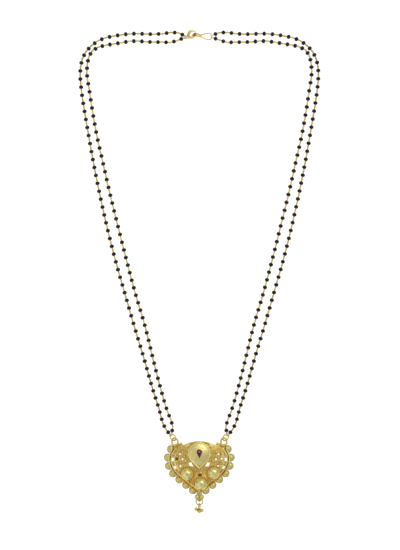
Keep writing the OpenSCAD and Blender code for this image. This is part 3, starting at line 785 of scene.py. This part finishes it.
def hook_shape():
    """A flat band that widens from the long eye and twists into its curl."""
    turn, lean = radians(CURL_TURN), radians(CURL_LEAN)
    long = Vector((cos(turn), sin(turn), 0))
    over = Vector((-sin(turn) * cos(lean), cos(turn) * cos(lean), sin(lean)))
    axis = long.cross(over)
    low = BAND_W / 2 * cos(lean) + BAND_T / 2 * sin(lean)
    centre = raised(CURL_AT, CURL_D / 2 * sin(lean) + low + FLOOR_ROOM)
    steps = int((CURL_ARC[0] - CURL_ARC[1]) / CURL_STEP)
    angles = [radians(CURL_ARC[0] - CURL_STEP * k) for k in range(steps + 1)]
    curl = [(CURL_D / 2 * cos(a), CURL_D / 2 * sin(a)) for a in angles] + [CURL_TIP]
    path = [Vector(p) for p in SHANK_POINTS] + [centre + x * long + y * over for x, y in curl]
    shares = SHANK_SHARES + [lookup(k / (steps + 1), *CURL_SHARES) for k in range(steps + 2)]
    halves = [((1 - t) * Vector((0, 1, 0)) - t * axis).normalized() * BAND_W / 2 * share
              for t, share in zip(TWIST_SHARES + [1] * len(shares), shares)]
    fine = 4
    path, halves = curve(path, fine), curve(halves, fine)
    section = [(1, 0.3), (0.97, 0.62), (0.86, 0.9), (0.7, 1), (0.35, 0.93), (0, 0.9)]
    section += [(-x, y) for x, y in section[-2::-1]]
    section += [(-x, -y) for x, y in section]
    # Painted shade: darkest where the band twists into its curl, and on the long eye near its first
    # point
    points, deep = [], []
    for k, (p, d, half) in enumerate(zip(path, headings(path), halves)):
        face = d.cross(half).normalized()
        for x, y in section:
            points.append(p + x * half + y * BAND_T / 2 * face)
            deep.append(0.12 + 0.75 * exp(-((k / fine - TWIST_MIDDLE) / 1.3) ** 2))
    s = Shape(points, bar(len(path), len(section)), deep)
    s.add(*tube(curve(EYE_POINTS, 5), HOOK_WIRE_D / 2, 12),
          deep=lambda p: 0.05 + 0.3 * exp(-(p - Vector(EYE_POINTS[0])).length / 1.5))
    return s


hook_shape().piece("clasp_hook", pale_gold, ["hook_clasp"], "pale_gold")

# Drop

CLUSTER_LEAN, CLUSTER_W, CLUSTER_STRAIGHT, CLUSTER_HANG, CLUSTER_WIRE_D = 65, 2, 1.4, 0.9, 0.6
DROP_BALLS = [(-0.79, 0), (-0.02, -0.52), (0.63, -0.3)]


def oval(w, straight, steps):
    """The middle line of a long ring, its straight sides along Y."""
    half = [Vector((w / 2 * cos(t), w / 2 * sin(t) + straight / 2, 0))
            for t in (pi * k / steps for k in range(steps + 1))]
    return half + [-p for p in half]


def drop_shape():
    lean = radians(CLUSTER_LEAN)
    at = Vector((0, drop_ring.centre.y - DROP_RING_D / 2 - CLUSTER_HANG,
                 CLUSTER_W / 2 * sin(lean) + CLUSTER_WIRE_D / 2 + FLOOR_ROOM))
    path = [at + Vector((p.x * cos(lean), p.y, -p.x * sin(lean)))
            for p in oval(CLUSTER_W, CLUSTER_STRAIGHT, 16)]
    # painted shade: some on the ring, more low on the balls, on their small rings and on the little
    # ball beneath
    s = Shape(*tube(path, (CLUSTER_WIRE_D + CLUSTER_FULLER) / 2, 12, closed=True), deep=0.35)
    foot = at.y - (CLUSTER_W + CLUSTER_STRAIGHT) / 2
    for x, y in DROP_BALLS:
        centre = Vector((x * DROP_BALL_D, foot + y * DROP_BALL_D, DROP_BALL_D / 2))
        s.add(*ball(centre, DROP_BALL_D / 2, 28), deep=by_height(0.4, 1.8, 0.7))
        s.add(*lathe([(0.95, -0.09), (1.24, -0.09), (1.24, 0.09), (0.95, 0.09)], 28,
                     centre + 0.05 * UP, (x, y - 1, 0)), deep=0.5)
    s.add(*ball((0, foot - 0.2, at.z), 0.75, 16), deep=0.8)
    return s


drop_shape().piece("drop_balls", gold_olive, ["drop_cluster"])

# Pendant

# Places on the pendant, as shares of its half width and its height
DISCS = spots((0.905, 0.155), (1.00, 0.315), (0.965, 0.475), (0.835, 0.62), (0.635, 0.735),
              (0.42, 0.84), (0.205, 0.942))
BORDER = [share_point((0.70, 0.03)), *DISCS, share_point((0, 1.03))]
BORDER_END, BORDER_STEPS = len(BORDER) - 1, 12
SCROLLS = spots((0.65, 0.137), (0.54, 0.207), (0.466, 0.29), (0.445, 0.382), (0.696, 0.229),
                (0.618, 0.312), (0.592, 0.408))
GRANULES = spots((0.77, 0.165), (0.735, 0.395), (0.69, 0.475))
PIERCINGS = spots((0.618, 0.25), (0.53, 0.347), (0.717, 0.336), (0.597, 0.478))
LENS_SPANS = [(1.95, 2.5), (3.3, 3.7)]
BALLS = spots((-0.39, 0.632), (0.452, 0.612), (0.05, 0.822))
WEDGE = spots((0.34, 0.42), (0.26, 0.405), (0.19, 0.485), (0.30, 0.473))
LEAF_AT, LEAF_L, LEAF_W, LEAF_H = share_point((0.375, 0.085)), 4.6, 1.8, 0.7
LEAF_TURN, LEAF_CREASE = radians(-32), 0.12
OUTER_RIM_FROM, SECOND_RIM_SPAN, SECOND_RIM_SHARE = 0.6, (1, 4.3), 0.8
CROWN_GRANULES, CROWN_SPREAD = 9, 0.6
PLATE_INSET = 0.4
SHIELD_R = SHIELD_W / 2
SHIELD_REACH = SHIELD_L - SHIELD_R
SHIELD_Y = TOP_Y - RIM_W + 0.1 - SHIELD_RIM_W / 4 - SHIELD_R
STONE_R, STONE_Y = STONE_W / 2, 2.4
STONE_REACH = STONE_L - STONE_R


def inset_point(u, d):
    start = min(u, BORDER_END - 0.01)
    t = (curve_point(BORDER, start + 0.01) - curve_point(BORDER, start)).normalized()
    p = curve_point(BORDER, u) + d * Vector((t.y, -t.x, 0))
    return Vector((max(p.x, 0), p.y, 0))


def inset_line(first, last, d):
    n = ceil(BORDER_STEPS * (last - first))
    return [inset_point(first + (last - first) * k / n, d) for k in range(n + 1)]


TOP_X = HALF_W / 2
TOP_R = arc_radius(TOP_X, TOP_RISE)
TOP_ANGLE, ARC_STEPS = asin(TOP_X / TOP_R), 20


def top_point(a, d):
    """A point of the pendant's top arc, d inside it."""
    return Vector(((TOP_R - d) * sin(a), TOP_Y - TOP_R + (TOP_R - d) * cos(a), 0))


def top_arc(d):
    return [top_point(TOP_ANGLE * k / ARC_STEPS, d) for k in range(ARC_STEPS + 1)]


def both(shape):
    """The shape with its mirror image."""
    other = shape.mirrored()
    shape.add(other.points, other.faces, other.deep)
    return shape


def teardrop(r, reach, y, d, steps=56, tip_steps=9):
    """A teardrop's outline, point down, with its round middle at y, and d larger than r."""
    reach, r = reach * (r + d) / r, r + d
    turn = asin(r / reach)
    out = []
    for k in range(steps + 1):
        a = -turn + (pi + 2 * turn) * k / steps
        out.append(Vector((r * cos(a), r * sin(a), 0)))
    tip = Vector((0, -reach, 0))
    last, first = out[-1], out[0]
    out += [last + (tip - last) * k / (tip_steps + 1) for k in range(1, tip_steps + 2)]
    out += [tip + (first - tip) * k / (tip_steps + 1) for k in range(1, tip_steps + 1)]
    return [p + Vector((0, y, 0)) for p in out]


def shield_outline(d, *steps):
    return teardrop(SHIELD_R, SHIELD_REACH, SHIELD_Y, d, *steps)


def stone_outline(d):
    return teardrop(STONE_R, STONE_REACH, STONE_Y, d)


def flat_plate(outline, holes, low, high, soften):
    """A plate with softened edges, cut through at its holes."""
    data = bpy.data.curves.new("outline", "CURVE")
    data.dimensions, data.fill_mode = "2D", "BOTH"
    data.extrude = (high - low) / 2 - soften
    data.bevel_depth, data.bevel_resolution, data.offset = soften, 1, -soften
    for loop in (outline, *holes):
        spline = data.splines.new("POLY")
        spline.points.add(len(loop) - 1)
        for at, p in zip(spline.points, loop):
            at.co = (p[0], p[1], 0, 1)
        spline.use_cyclic_u = True
    thing = shown("outline", data)
    points, faces = taken_back(thing, 0.001)
    bpy.data.objects.remove(thing)
    bpy.data.curves.remove(data)
    return [p + UP * (low + high) / 2 for p in points], faces


def sweep(path, section, closed=False):
    """A section of (side, height) pairs along a flat path."""
    n, m = len(path), len(section)
    points = []
    for p, d in zip(path, headings(path, closed)):
        side = Vector((d.y, -d.x, 0))
        points += [p + side * s + UP * z for s, z in section]
    return points, skin(rows_of(n, m) + [range(m)], m) if closed else bar(n, m)


def band(width, low, high, soften=0.3):
    """The section of a flat wire set on edge, with a rounded top."""
    half = width / 2
    top = [(half * cos(a), high - soften + soften * sin(a))
           for a in (pi * k / 8 for k in range(9))]
    return [(half, low), *top, (-half, low)]


def circle_at(p, r, steps=24):
    return [Vector((p.x + r * c, p.y + r * s, 0)) for c, s in wheel(steps)]


def inside(p, loop):
    hit = False
    for a, b in zip(loop, loop[1:] + loop[:1]):
        if (a.y > p.y) != (b.y > p.y) and p.x < a.x + (b.x - a.x) * (p.y - a.y) / (b.y - a.y):
            hit = not hit
    return hit


def off_line(p, loop):
    """Distance of a point from a closed line."""
    best = 1e9
    for a, b in zip(loop, loop[1:] + loop[:1]):
        run = b - a
        t = min(max((p - a).dot(run) / max(run.length_squared, 1e-9), 0), 1)
        best = min(best, (p - a - run * t).length)
    return best


half_outline = top_arc(0) + inset_line(0, BORDER_END, PLATE_INSET)
plate_outline = half_outline + mirror(half_outline[-2:0:-1])
inner = RIM_INSET + RIM_W / 2
half_gaps = [circle_at(p, PIERCING_D / 2) for p in PIERCINGS]
half_gaps += [inset_line(*span, inner) + inset_line(*span, inner + RIM_GAP)[::-1]
              for span in LENS_SPANS]
half_gaps.append(WEDGE)
BALL_BACK_R = 3.3
plate_gaps = half_gaps + [mirror(g) for g in half_gaps]
plate_gaps += [circle_at(p, BALL_BACK_R, 40) for p in BALLS]


def darker_toward_foot(low, high, most=0.95):
    """by_height, with its painted shade raised toward the pendant's foot, which also dulls it."""
    base = by_height(low, high, most)
    return lambda p: base(p) + 0.45 * min(max((-4 - p[1]) / 10, 0), 1)


plate = Shape(*flat_plate(plate_outline, plate_gaps, 0, PLATE_T, 0.07),
              deep=by_height(0.2, 0.8, 0.15, 0.42))
rim_top = PLATE_T + RIM_H
rims = both(Shape(*sweep(inset_line(*SECOND_RIM_SPAN, RIM_INSET + RIM_W + RIM_GAP),
                         band(RIM_W, PLATE_T / 2, PLATE_T + RIM_H * SECOND_RIM_SHARE)),
                  deep=by_height(PLATE_T, rim_top - 0.4)))
half_rim = [p for p in inset_line(OUTER_RIM_FROM, BORDER_END, RIM_INSET) if p.x > 0.05]
low, last = half_rim[-2:]
rim_foot = last + (last - low) * last.x / (low.x - last.x)
rims.add(*sweep([*half_rim, rim_foot, *mirror(half_rim[::-1])],
                band(RIM_W, PLATE_T / 2, rim_top)), deep=darker_toward_foot(PLATE_T, rim_top - 0.25))
arc_line = top_arc(RIM_W / 2)
rims.add(*sweep(mirror(arc_line[:0:-1]) + arc_line,
                band(RIM_W, PLATE_T / 2, rim_top)), deep=by_height(PLATE_T, rim_top - 0.25))
discs = Shape()
edge_r = DISC_D / 2
cap_r = arc_radius(edge_r, DISC_CROWN - DISC_EDGE)


def cap_z(r):
    return DISC_CROWN - cap_r + sqrt(cap_r ** 2 - r ** 2)


disc_profile = [(0, 0), (edge_r - 0.1, 0), (edge_r, 0.1), (edge_r, 0.58), (edge_r - 0.05, 0.72)]
disc_profile += [(r, cap_z(r)) for r in ((edge_r - 0.14) * (1 - k / 10) for k in range(10))]
disc_profile.append((0, DISC_CROWN))
BORDER_WIRE_INSET, BORDER_WIRE_D, BORDER_WIRE_Z = 0.75, 0.85, 1.75


def disc_painted_shade(at, inward):
    """Painted shade: dark at the edge and past the border wire, which covers the disc's inner part.
    """
    low = by_height(0.6, 1.4, 0.75, 0.0)

    def value(p):
        past = ((p - at).dot(inward) - BORDER_WIRE_INSET) / 0.4
        return max(low(p), min(max(past, 0), 1) * 0.9)

    return value


for number, at in enumerate(DISCS):
    inward = (inset_point(number + 1, 1) - inset_point(number + 1, 0)).normalized()
    discs.add(*lathe(disc_profile, 40, at), deep=disc_painted_shade(at, inward))
plate.piece("pendant_plate", gold_field)
rims.piece("pendant_rims", gold_rim)
both(discs).piece("pendant_discs", gold_disc)

# The border wire runs from the corner loop's outer side down over the discs' inner parts.
leg = [corner_at + Vector((LOOP_W / 2, -0.3, LOOP_Z - 0.05)),
       corner_at + Vector((LOOP_W / 2 + 0.05, -2, 2))]
border_line = [raised(p, BORDER_WIRE_Z)
               for p in inset_line(1, BORDER_END - 0.35, BORDER_WIRE_INSET)]
border_path = curve(leg + border_line[::3], 4)
thin = [min(max((p.y + 20) / 18, 0), 1) for p in border_path]
for p, t in zip(border_path, thin):
    p.z -= 0.25 * (1 - t)
border = Shape(*tube(border_path, [BORDER_WIRE_D / 2 * (0.6 + 0.4 * t) for t in thin], 10,
                     round_ends=True), deep=darker_toward_foot(1.75, 2.1, 0.75))
both(border).piece("pendant_border_wire", gold_rim)

filigree = Shape()


def granule(shape, at, r, z=PLATE_T, steps=14):
    shape.add(*ball(raised(at, z), r, steps), deep=by_height(z, z + r * 0.5, 0.7))


for at in SCROLLS:
    granule(filigree, at, GRANULE_D / 2)
    ring_path = [p + PLATE_T * UP for p in circle_at(at, SCROLL_D / 2, 30)]
    for strand in rope(ring_path, (SCROLL_WIRE_D + SCROLL_FULLER) / 2, 6, 1.9):
        filigree.add(*strand, deep=by_height(PLATE_T, PLATE_T + 0.25, 0.9))
bright = Shape()
for at in GRANULES:
    granule(bright, at, GRANULE_D / 2 + 0.08)
for at in SCROLLS[1::2]:
    granule(bright, at, GRANULE_D / 2 + 0.05)
both(bright).piece("pendant_granules", gold_rim)
granule(filigree, share_point((0.575, 0.045)), GRANULE_D * 0.65)


def leaf():
    r = arc_radius(LEAF_L / 2, LEAF_W / 2)
    c, s = cos(LEAF_TURN), sin(LEAF_TURN)
    points, rows, columns = [], 20, 8
    for i in range(rows + 1):
        x = -LEAF_L / 2 + LEAF_L * i / rows
        half = max(sqrt(r * r - x * x) - (r - LEAF_W / 2), 0.01)
        top = []
        for k in range(columns + 1):
            y = half * (2 * k / columns - 1)
            z = PLATE_T + LEAF_H * (1 - 0.45 * (y / half) ** 2) - 0.25 * (2 * x / LEAF_L) ** 4
            z -= LEAF_CREASE * exp(-(y / 0.16) ** 2)
            top.append(LEAF_AT + Vector((x * c - y * s, x * s + y * c, z)))
        points += top + [raised(p, PLATE_T / 2) for p in top[::-1]]
    return points, bar(rows + 1, 2 * len(top))


leaves = Shape(*leaf(), deep=by_height(PLATE_T + 0.2, PLATE_T + 0.5, 0.9))
both(leaves).piece("pendant_leaves", gold_rim)

# Painted shadow: near-black discs standing in for shaded hollows, as (x, y, radius), and what the
# granules keep free of them on the right half
SHADOW_SPOTS = (0.35, -11.75, 1.05), (-13.45, -1.6, 0.75), (5.9, -16.9, 0.8), (-5.9, -15.9, 0.5)
SHADOW_SPOT_ROOM = [(Vector((x, y, 0)), r)
               for x, y, r in ((0.35, -11.75, 1.2), (-0.35, -11.75, 1.2), (13.45, -1.6, 0.9))]

# Small granules fill what is free between the scrolls, gaps and rims.
FIELD_TRIES, FIELD_SIZES, FIELD_LOW, EDGE_CLEAR = 2600, (0.36, 0.45, 0.7), -19, 2.3
rnd = random.Random(5)
busy = [(p, SCROLL_D / 2 + SCROLL_WIRE_D / 2) for p in SCROLLS]
busy += [(p, GRANULE_D / 2) for p in GRANULES]
busy += [(p, BALL_D / 2 + SEAT_WIRE_D) for p in BALLS + mirror(BALLS[:2])]
leaf_way = Vector((cos(LEAF_TURN), sin(LEAF_TURN), 0))
busy += [(LEAF_AT + k * leaf_way, 0.85 - 0.3 * abs(k)) for k in (-1.6, -0.8, 0, 0.8, 1.6)]
busy += SHADOW_SPOT_ROOM
shield_edge = shield_outline(SHIELD_RIM_W / 4, 28, 4)
for _ in range(FIELD_TRIES):
    p = Vector((rnd.uniform(0.2, HALF_W), rnd.uniform(FIELD_LOW, TOP_Y - 1), 0))
    r = rnd.choice(FIELD_SIZES)
    if not inside(p, plate_outline) or inside(p, shield_edge):
        continue
    if off_line(p, shield_edge) < r + 0.1 or off_line(p, plate_outline) < EDGE_CLEAR:
        continue
    if any((p - q).length < r + room + 0.04 for q, room in busy):
        continue
    if any(inside(p, g) or off_line(p, g) < r + 0.08 for g in half_gaps):
        continue
    busy.append((p, r))
    granule(filigree, p, r, PLATE_T + 0.05, 10)
filigree = both(filigree)
for i in range(CROWN_GRANULES):
    a = TOP_ANGLE * CROWN_SPREAD * (2 * i / (CROWN_GRANULES - 1) - 1)
    filigree.add(*ball(raised(top_point(a, RIM_W / 2), rim_top), GRANULE_D / 2, 18),
                 deep=by_height(1.5, 2.2, 0.8))
granule(filigree, share_point((0.045, 0.605)), GRANULE_D * 0.7, steps=18)
granule(filigree, Vector((0, SHIELD_Y - SHIELD_REACH - 0.55, 0)), 0.6, PLATE_T + 0.3, 16)
shadow_spots = Shape()
for x, y, r in SHADOW_SPOTS:
    shadow_spots.add(*lathe([(0, -0.2), (r + 0.15, -0.2), (r + 0.15, 0.1), (r, 0.16),
                        (r - 0.12, 0.06), (0, 0.02)], 20, (x, y, PLATE_T)), deep=0.4)
shadow_spots.piece("pendant_shadow_spots", gold_shadow)
filigree.piece("pendant_filigree", gold_field)

# Shield: a crowned teardrop round the stone's seat, and its raised rim
crown_r = arc_radius(SHIELD_R, SHIELD_CROWN - 2.2)


def crown_z(p):
    off = p.x ** 2 + (p.y - SHIELD_Y) ** 2
    return SHIELD_CROWN - crown_r + sqrt(crown_r ** 2 - off)


# The lip round the stone: how far it lies out from the seat, and above the crown
SEAT_LIP, CROWN_ROWS = ((0, 0.02), (0.12, 0.1), (0.26, 0.08), (0.36, 0)), 14
edge = shield_outline(0)
count = len(edge)
rows = [[raised(p, SHIELD_CROWN - SEAT_DEPTH) for p in stone_outline(SEAT_ROOM)]]
rows += [[raised(p, crown_z(p) + z) for p in stone_outline(SEAT_ROOM + out)] for out, z in SEAT_LIP]
start = stone_outline(SEAT_ROOM + SEAT_LIP[-1][0])
for k in range(1, CROWN_ROWS + 1):
    line = [a + (b - a) * k / CROWN_ROWS for a, b in zip(start, edge)]
    rows.append([raised(p, crown_z(p)) for p in line])
rows.append([raised(p, 0) for p in edge])
# Painted shade for each row: darkest in the stone's seat, light over the crown, dark again at the
# shield's foot
painted_shade_rows = [1, 0.9, 0.5, 0.3, 0.12]
painted_shade_rows += [0.02 + 0.5 * max(0, k - 11) / 3 for k in range(1, CROWN_ROWS + 1)] + [0.9]
crown = Shape([p for row in rows for p in row], bar(len(rows), count),
              [d for d in painted_shade_rows for _ in range(count)])
crown.brush = [(k / count + 0.001, i * 0.05) for i in range(len(rows)) for k in range(count)]
crown.piece("pendant_shield", gold_satin)
rim_section = band(SHIELD_RIM_W + 0.1, 0.3, SHIELD_RIM_H, 0.2)
rim = Shape(*sweep(shield_outline(-SHIELD_RIM_W / 4), rim_section, closed=True),
            deep=by_height(1.8, 2.75, 1.1))
rim.piece("pendant_shield_rim", gold_rim)

# Ball domes, open at the back, with cut dimples, each in a twisted seat ring
# Each dimple: how far it leans from straight up, its turn round, and its width, in degrees
DIMPLES = [(0, 0, 15), *((36, 60 * k, 14) for k in range(6)),
           *((64, 36 * k + 18, 12) for k in range(10))]
DOME_FULLER, DOME_STEPS, DOME_ROWS, INNER_ROWS = 0.4, 96, 40, 14


def direction(polar, turn):
    return Vector((sin(polar) * cos(turn), sin(polar) * sin(turn), cos(polar)))


dimples = [(direction(radians(a), radians(b)), radians(w)) for a, b, w in DIMPLES]


def dimpled(d, r):
    """How deep the dimples go in the direction d of a dome of radius r."""
    depth = 0
    for dimple, width in dimples:
        off = dimple.angle(d)
        if off < width:
            depth = max(depth, r * 1.1 * (1 - cos(width - off)))
    return depth


def ball_dome(at, turn):
    """A thin dome with cut dimples: its points, faces and painted shade values, darker in the
    dimples and inside.
    """
    r = arc_radius(BALL_D / 2 + DOME_FULLER, BALL_H)
    middle = raised(at, PLATE_T + BALL_H - r)
    points, deep, rings = [], [], []
    step = 2 * pi / DOME_STEPS
    spin = round(DOME_STEPS * turn / 360)
    turns = [(r, i, DOME_ROWS) for i in range(DOME_ROWS + 1)]
    turns += [(r - BALL_WALL, i, INNER_ROWS) for i in range(INNER_ROWS, -1, -1)]
    for reach, i, rows in turns:
        polar = acos(-middle.z / reach) * i / rows
        count = DOME_STEPS if i else 1
        rings.append(range(len(points), len(points) + count))
        for k in range(count):
            depth = dimpled(direction(polar, step * (k - spin)), r) if reach == r else 0
            points.append(middle + direction(polar, step * k) * (reach - depth))
            # painted shade: darker the deeper the dimple, and dark on the inner wall
            deep.append(min(depth * 6, 0.5) if reach == r else 0.6)
    return points, skin(rings, DOME_STEPS), deep


# The seat's collar as (radius, height), and its rope's height and distance out from the ball
COLLAR = [(BALL_D / 2, 0.7), (4.75, 0.7), (4.75, 1.25), (4.6, 1.4), (BALL_D / 2, 1.4)]
SEAT_ROPE_Z, SEAT_ROPE_OUT = PLATE_T + 0.46, SEAT_WIRE_D / 2 + 0.16
balls, seats = Shape(), Shape()
for number, at in enumerate(BALLS):
    balls.add(*ball_dome(at, 17 * number))
    seats.add(*lathe(COLLAR, 60, at), deep=0.3)
    seat_path = [p + SEAT_ROPE_Z * UP for p in circle_at(at, BALL_D / 2 + SEAT_ROPE_OUT, 60)]
    for strand in rope(seat_path, SEAT_WIRE_D / 2 - 0.04, 8, 1.7):
        seats.add(*strand, deep=by_height(PLATE_T + 0.25, PLATE_T + 0.75, 0.7, 0.1))
balls.piece("pendant_balls", gold_dome)
seats.piece("pendant_seat_rings", gold_amber)

# Corner loops with their posts, and the V tab that holds the drop's ring
loops = Shape(*tube([p + raised(corner_at, LOOP_Z) for p in oval(LOOP_W, LOOP_STRAIGHT, 18)],
                    (LOOP_WIRE_D + LOOP_FULLER) / 2, 14, closed=True),
              deep=by_height(1.7, 2.2, 0.45, 0.03))
loops.add(*lathe([(0, 0), (1.05, 0), (1.15, 0.15), (1.1, 0.9), (0.95, 1.5), (0.9, LOOP_Z - 0.1),
                  (0.75, LOOP_Z + 0.25), (0.4, LOOP_Z + 0.42), (0, LOOP_Z + 0.45)], 24,
                 corner_at - Vector((0, (LOOP_W + LOOP_STRAIGHT) / 2, 0))),
          deep=by_height(0.9, 1.6, 0.7, 0.05))
loops = both(loops)

TAB_SPREAD, TAB_TOP, TAB_DROP, TAB_SHOULDER, TAB_STEPS = 0.48, 0.4, 0.75, (0.37, 0.3), 120


def tab_shape():
    top = tab_point.y + TAB_LOBE_D / 2
    lobe_y = tab_point.y - TAB_LOBE_D * TAB_DROP
    low_x = TAB_LOBE_D * (TAB_SPREAD + TAB_SHOULDER[0])
    low_y = lobe_y - TAB_LOBE_D * TAB_SHOULDER[1]
    tip_y = drop_ring.centre.y - DROP_RING_WIRE_D / 2
    loop = [Vector(q) for q in ((-low_x, low_y, 0), (-TAB_LOBE_D * TAB_TOP, top, 0),
                                (TAB_LOBE_D * TAB_TOP, top, 0), (low_x, low_y, 0), (0, tip_y, 0))]
    lobes = [Vector((side * TAB_LOBE_D * TAB_SPREAD, lobe_y, 0)) for side in (-1, 1)]
    middle = Vector((0, lobe_y, 0))
    outline = []
    for k in range(TAB_STEPS):
        t = 2 * pi * k / TAB_STEPS + pi / 2
        d = Vector((cos(t), sin(t), 0))
        near, far = 0, TAB_LOBE_D * 3
        while far - near > 1e-6:
            half = (near + far) / 2
            p = middle + d * half
            if inside(p, loop) or any((p - c).length < TAB_LOBE_D / 2 for c in lobes):
                near = half
            else:
                far = half
        outline.append(middle + d * near)
    s = Shape(*flat_plate(outline, [], 0, TAB_H - 0.6, 0.2))
    dome = [(0, 1.2), (TAB_LOBE_D / 2 - 0.35, 1.2)]
    dome += [((TAB_LOBE_D / 2 - 0.12) * cos(a), TAB_H - 0.72 + 0.72 * sin(a))
             for a in (pi / 2 * k / 8 for k in range(8))]
    dome.append((0, TAB_H))
    for c in lobes:
        s.add(*lathe(dome, 36, c))
    return s


def cut(shape, tool, deep):
    """shape without what tool fills."""
    made = [shown("cut", solid_mesh("cut", s.points, s.faces)) for s in (shape, tool)]
    modifier = made[0].modifiers.new("cut", "BOOLEAN")
    modifier.object, modifier.operation, modifier.solver = made[1], "DIFFERENCE", "EXACT"
    modifier.use_self = True
    out = Shape(*taken_back(made[0], 0.003, even=True), deep=deep)
    for thing in made:
        old = thing.data
        bpy.data.objects.remove(thing)
        bpy.data.meshes.remove(old)
    return out


ring_room = Shape(*tube([drop_ring.point(7.5 * k) for k in range(48)],
                        DROP_RING_WIRE_D / 2 + TAB_ROOM, 16, closed=True))
tab = cut(tab_shape(), ring_room, by_height(1.3, 2.4, 0.9))
loops.piece("pendant_loops", gold_ring)
tab.piece("pendant_tab", gold_olive)

stone_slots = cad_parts["pear_stone"].data.materials
stone_slots.clear()
stone_slots.append(maroon_stone)
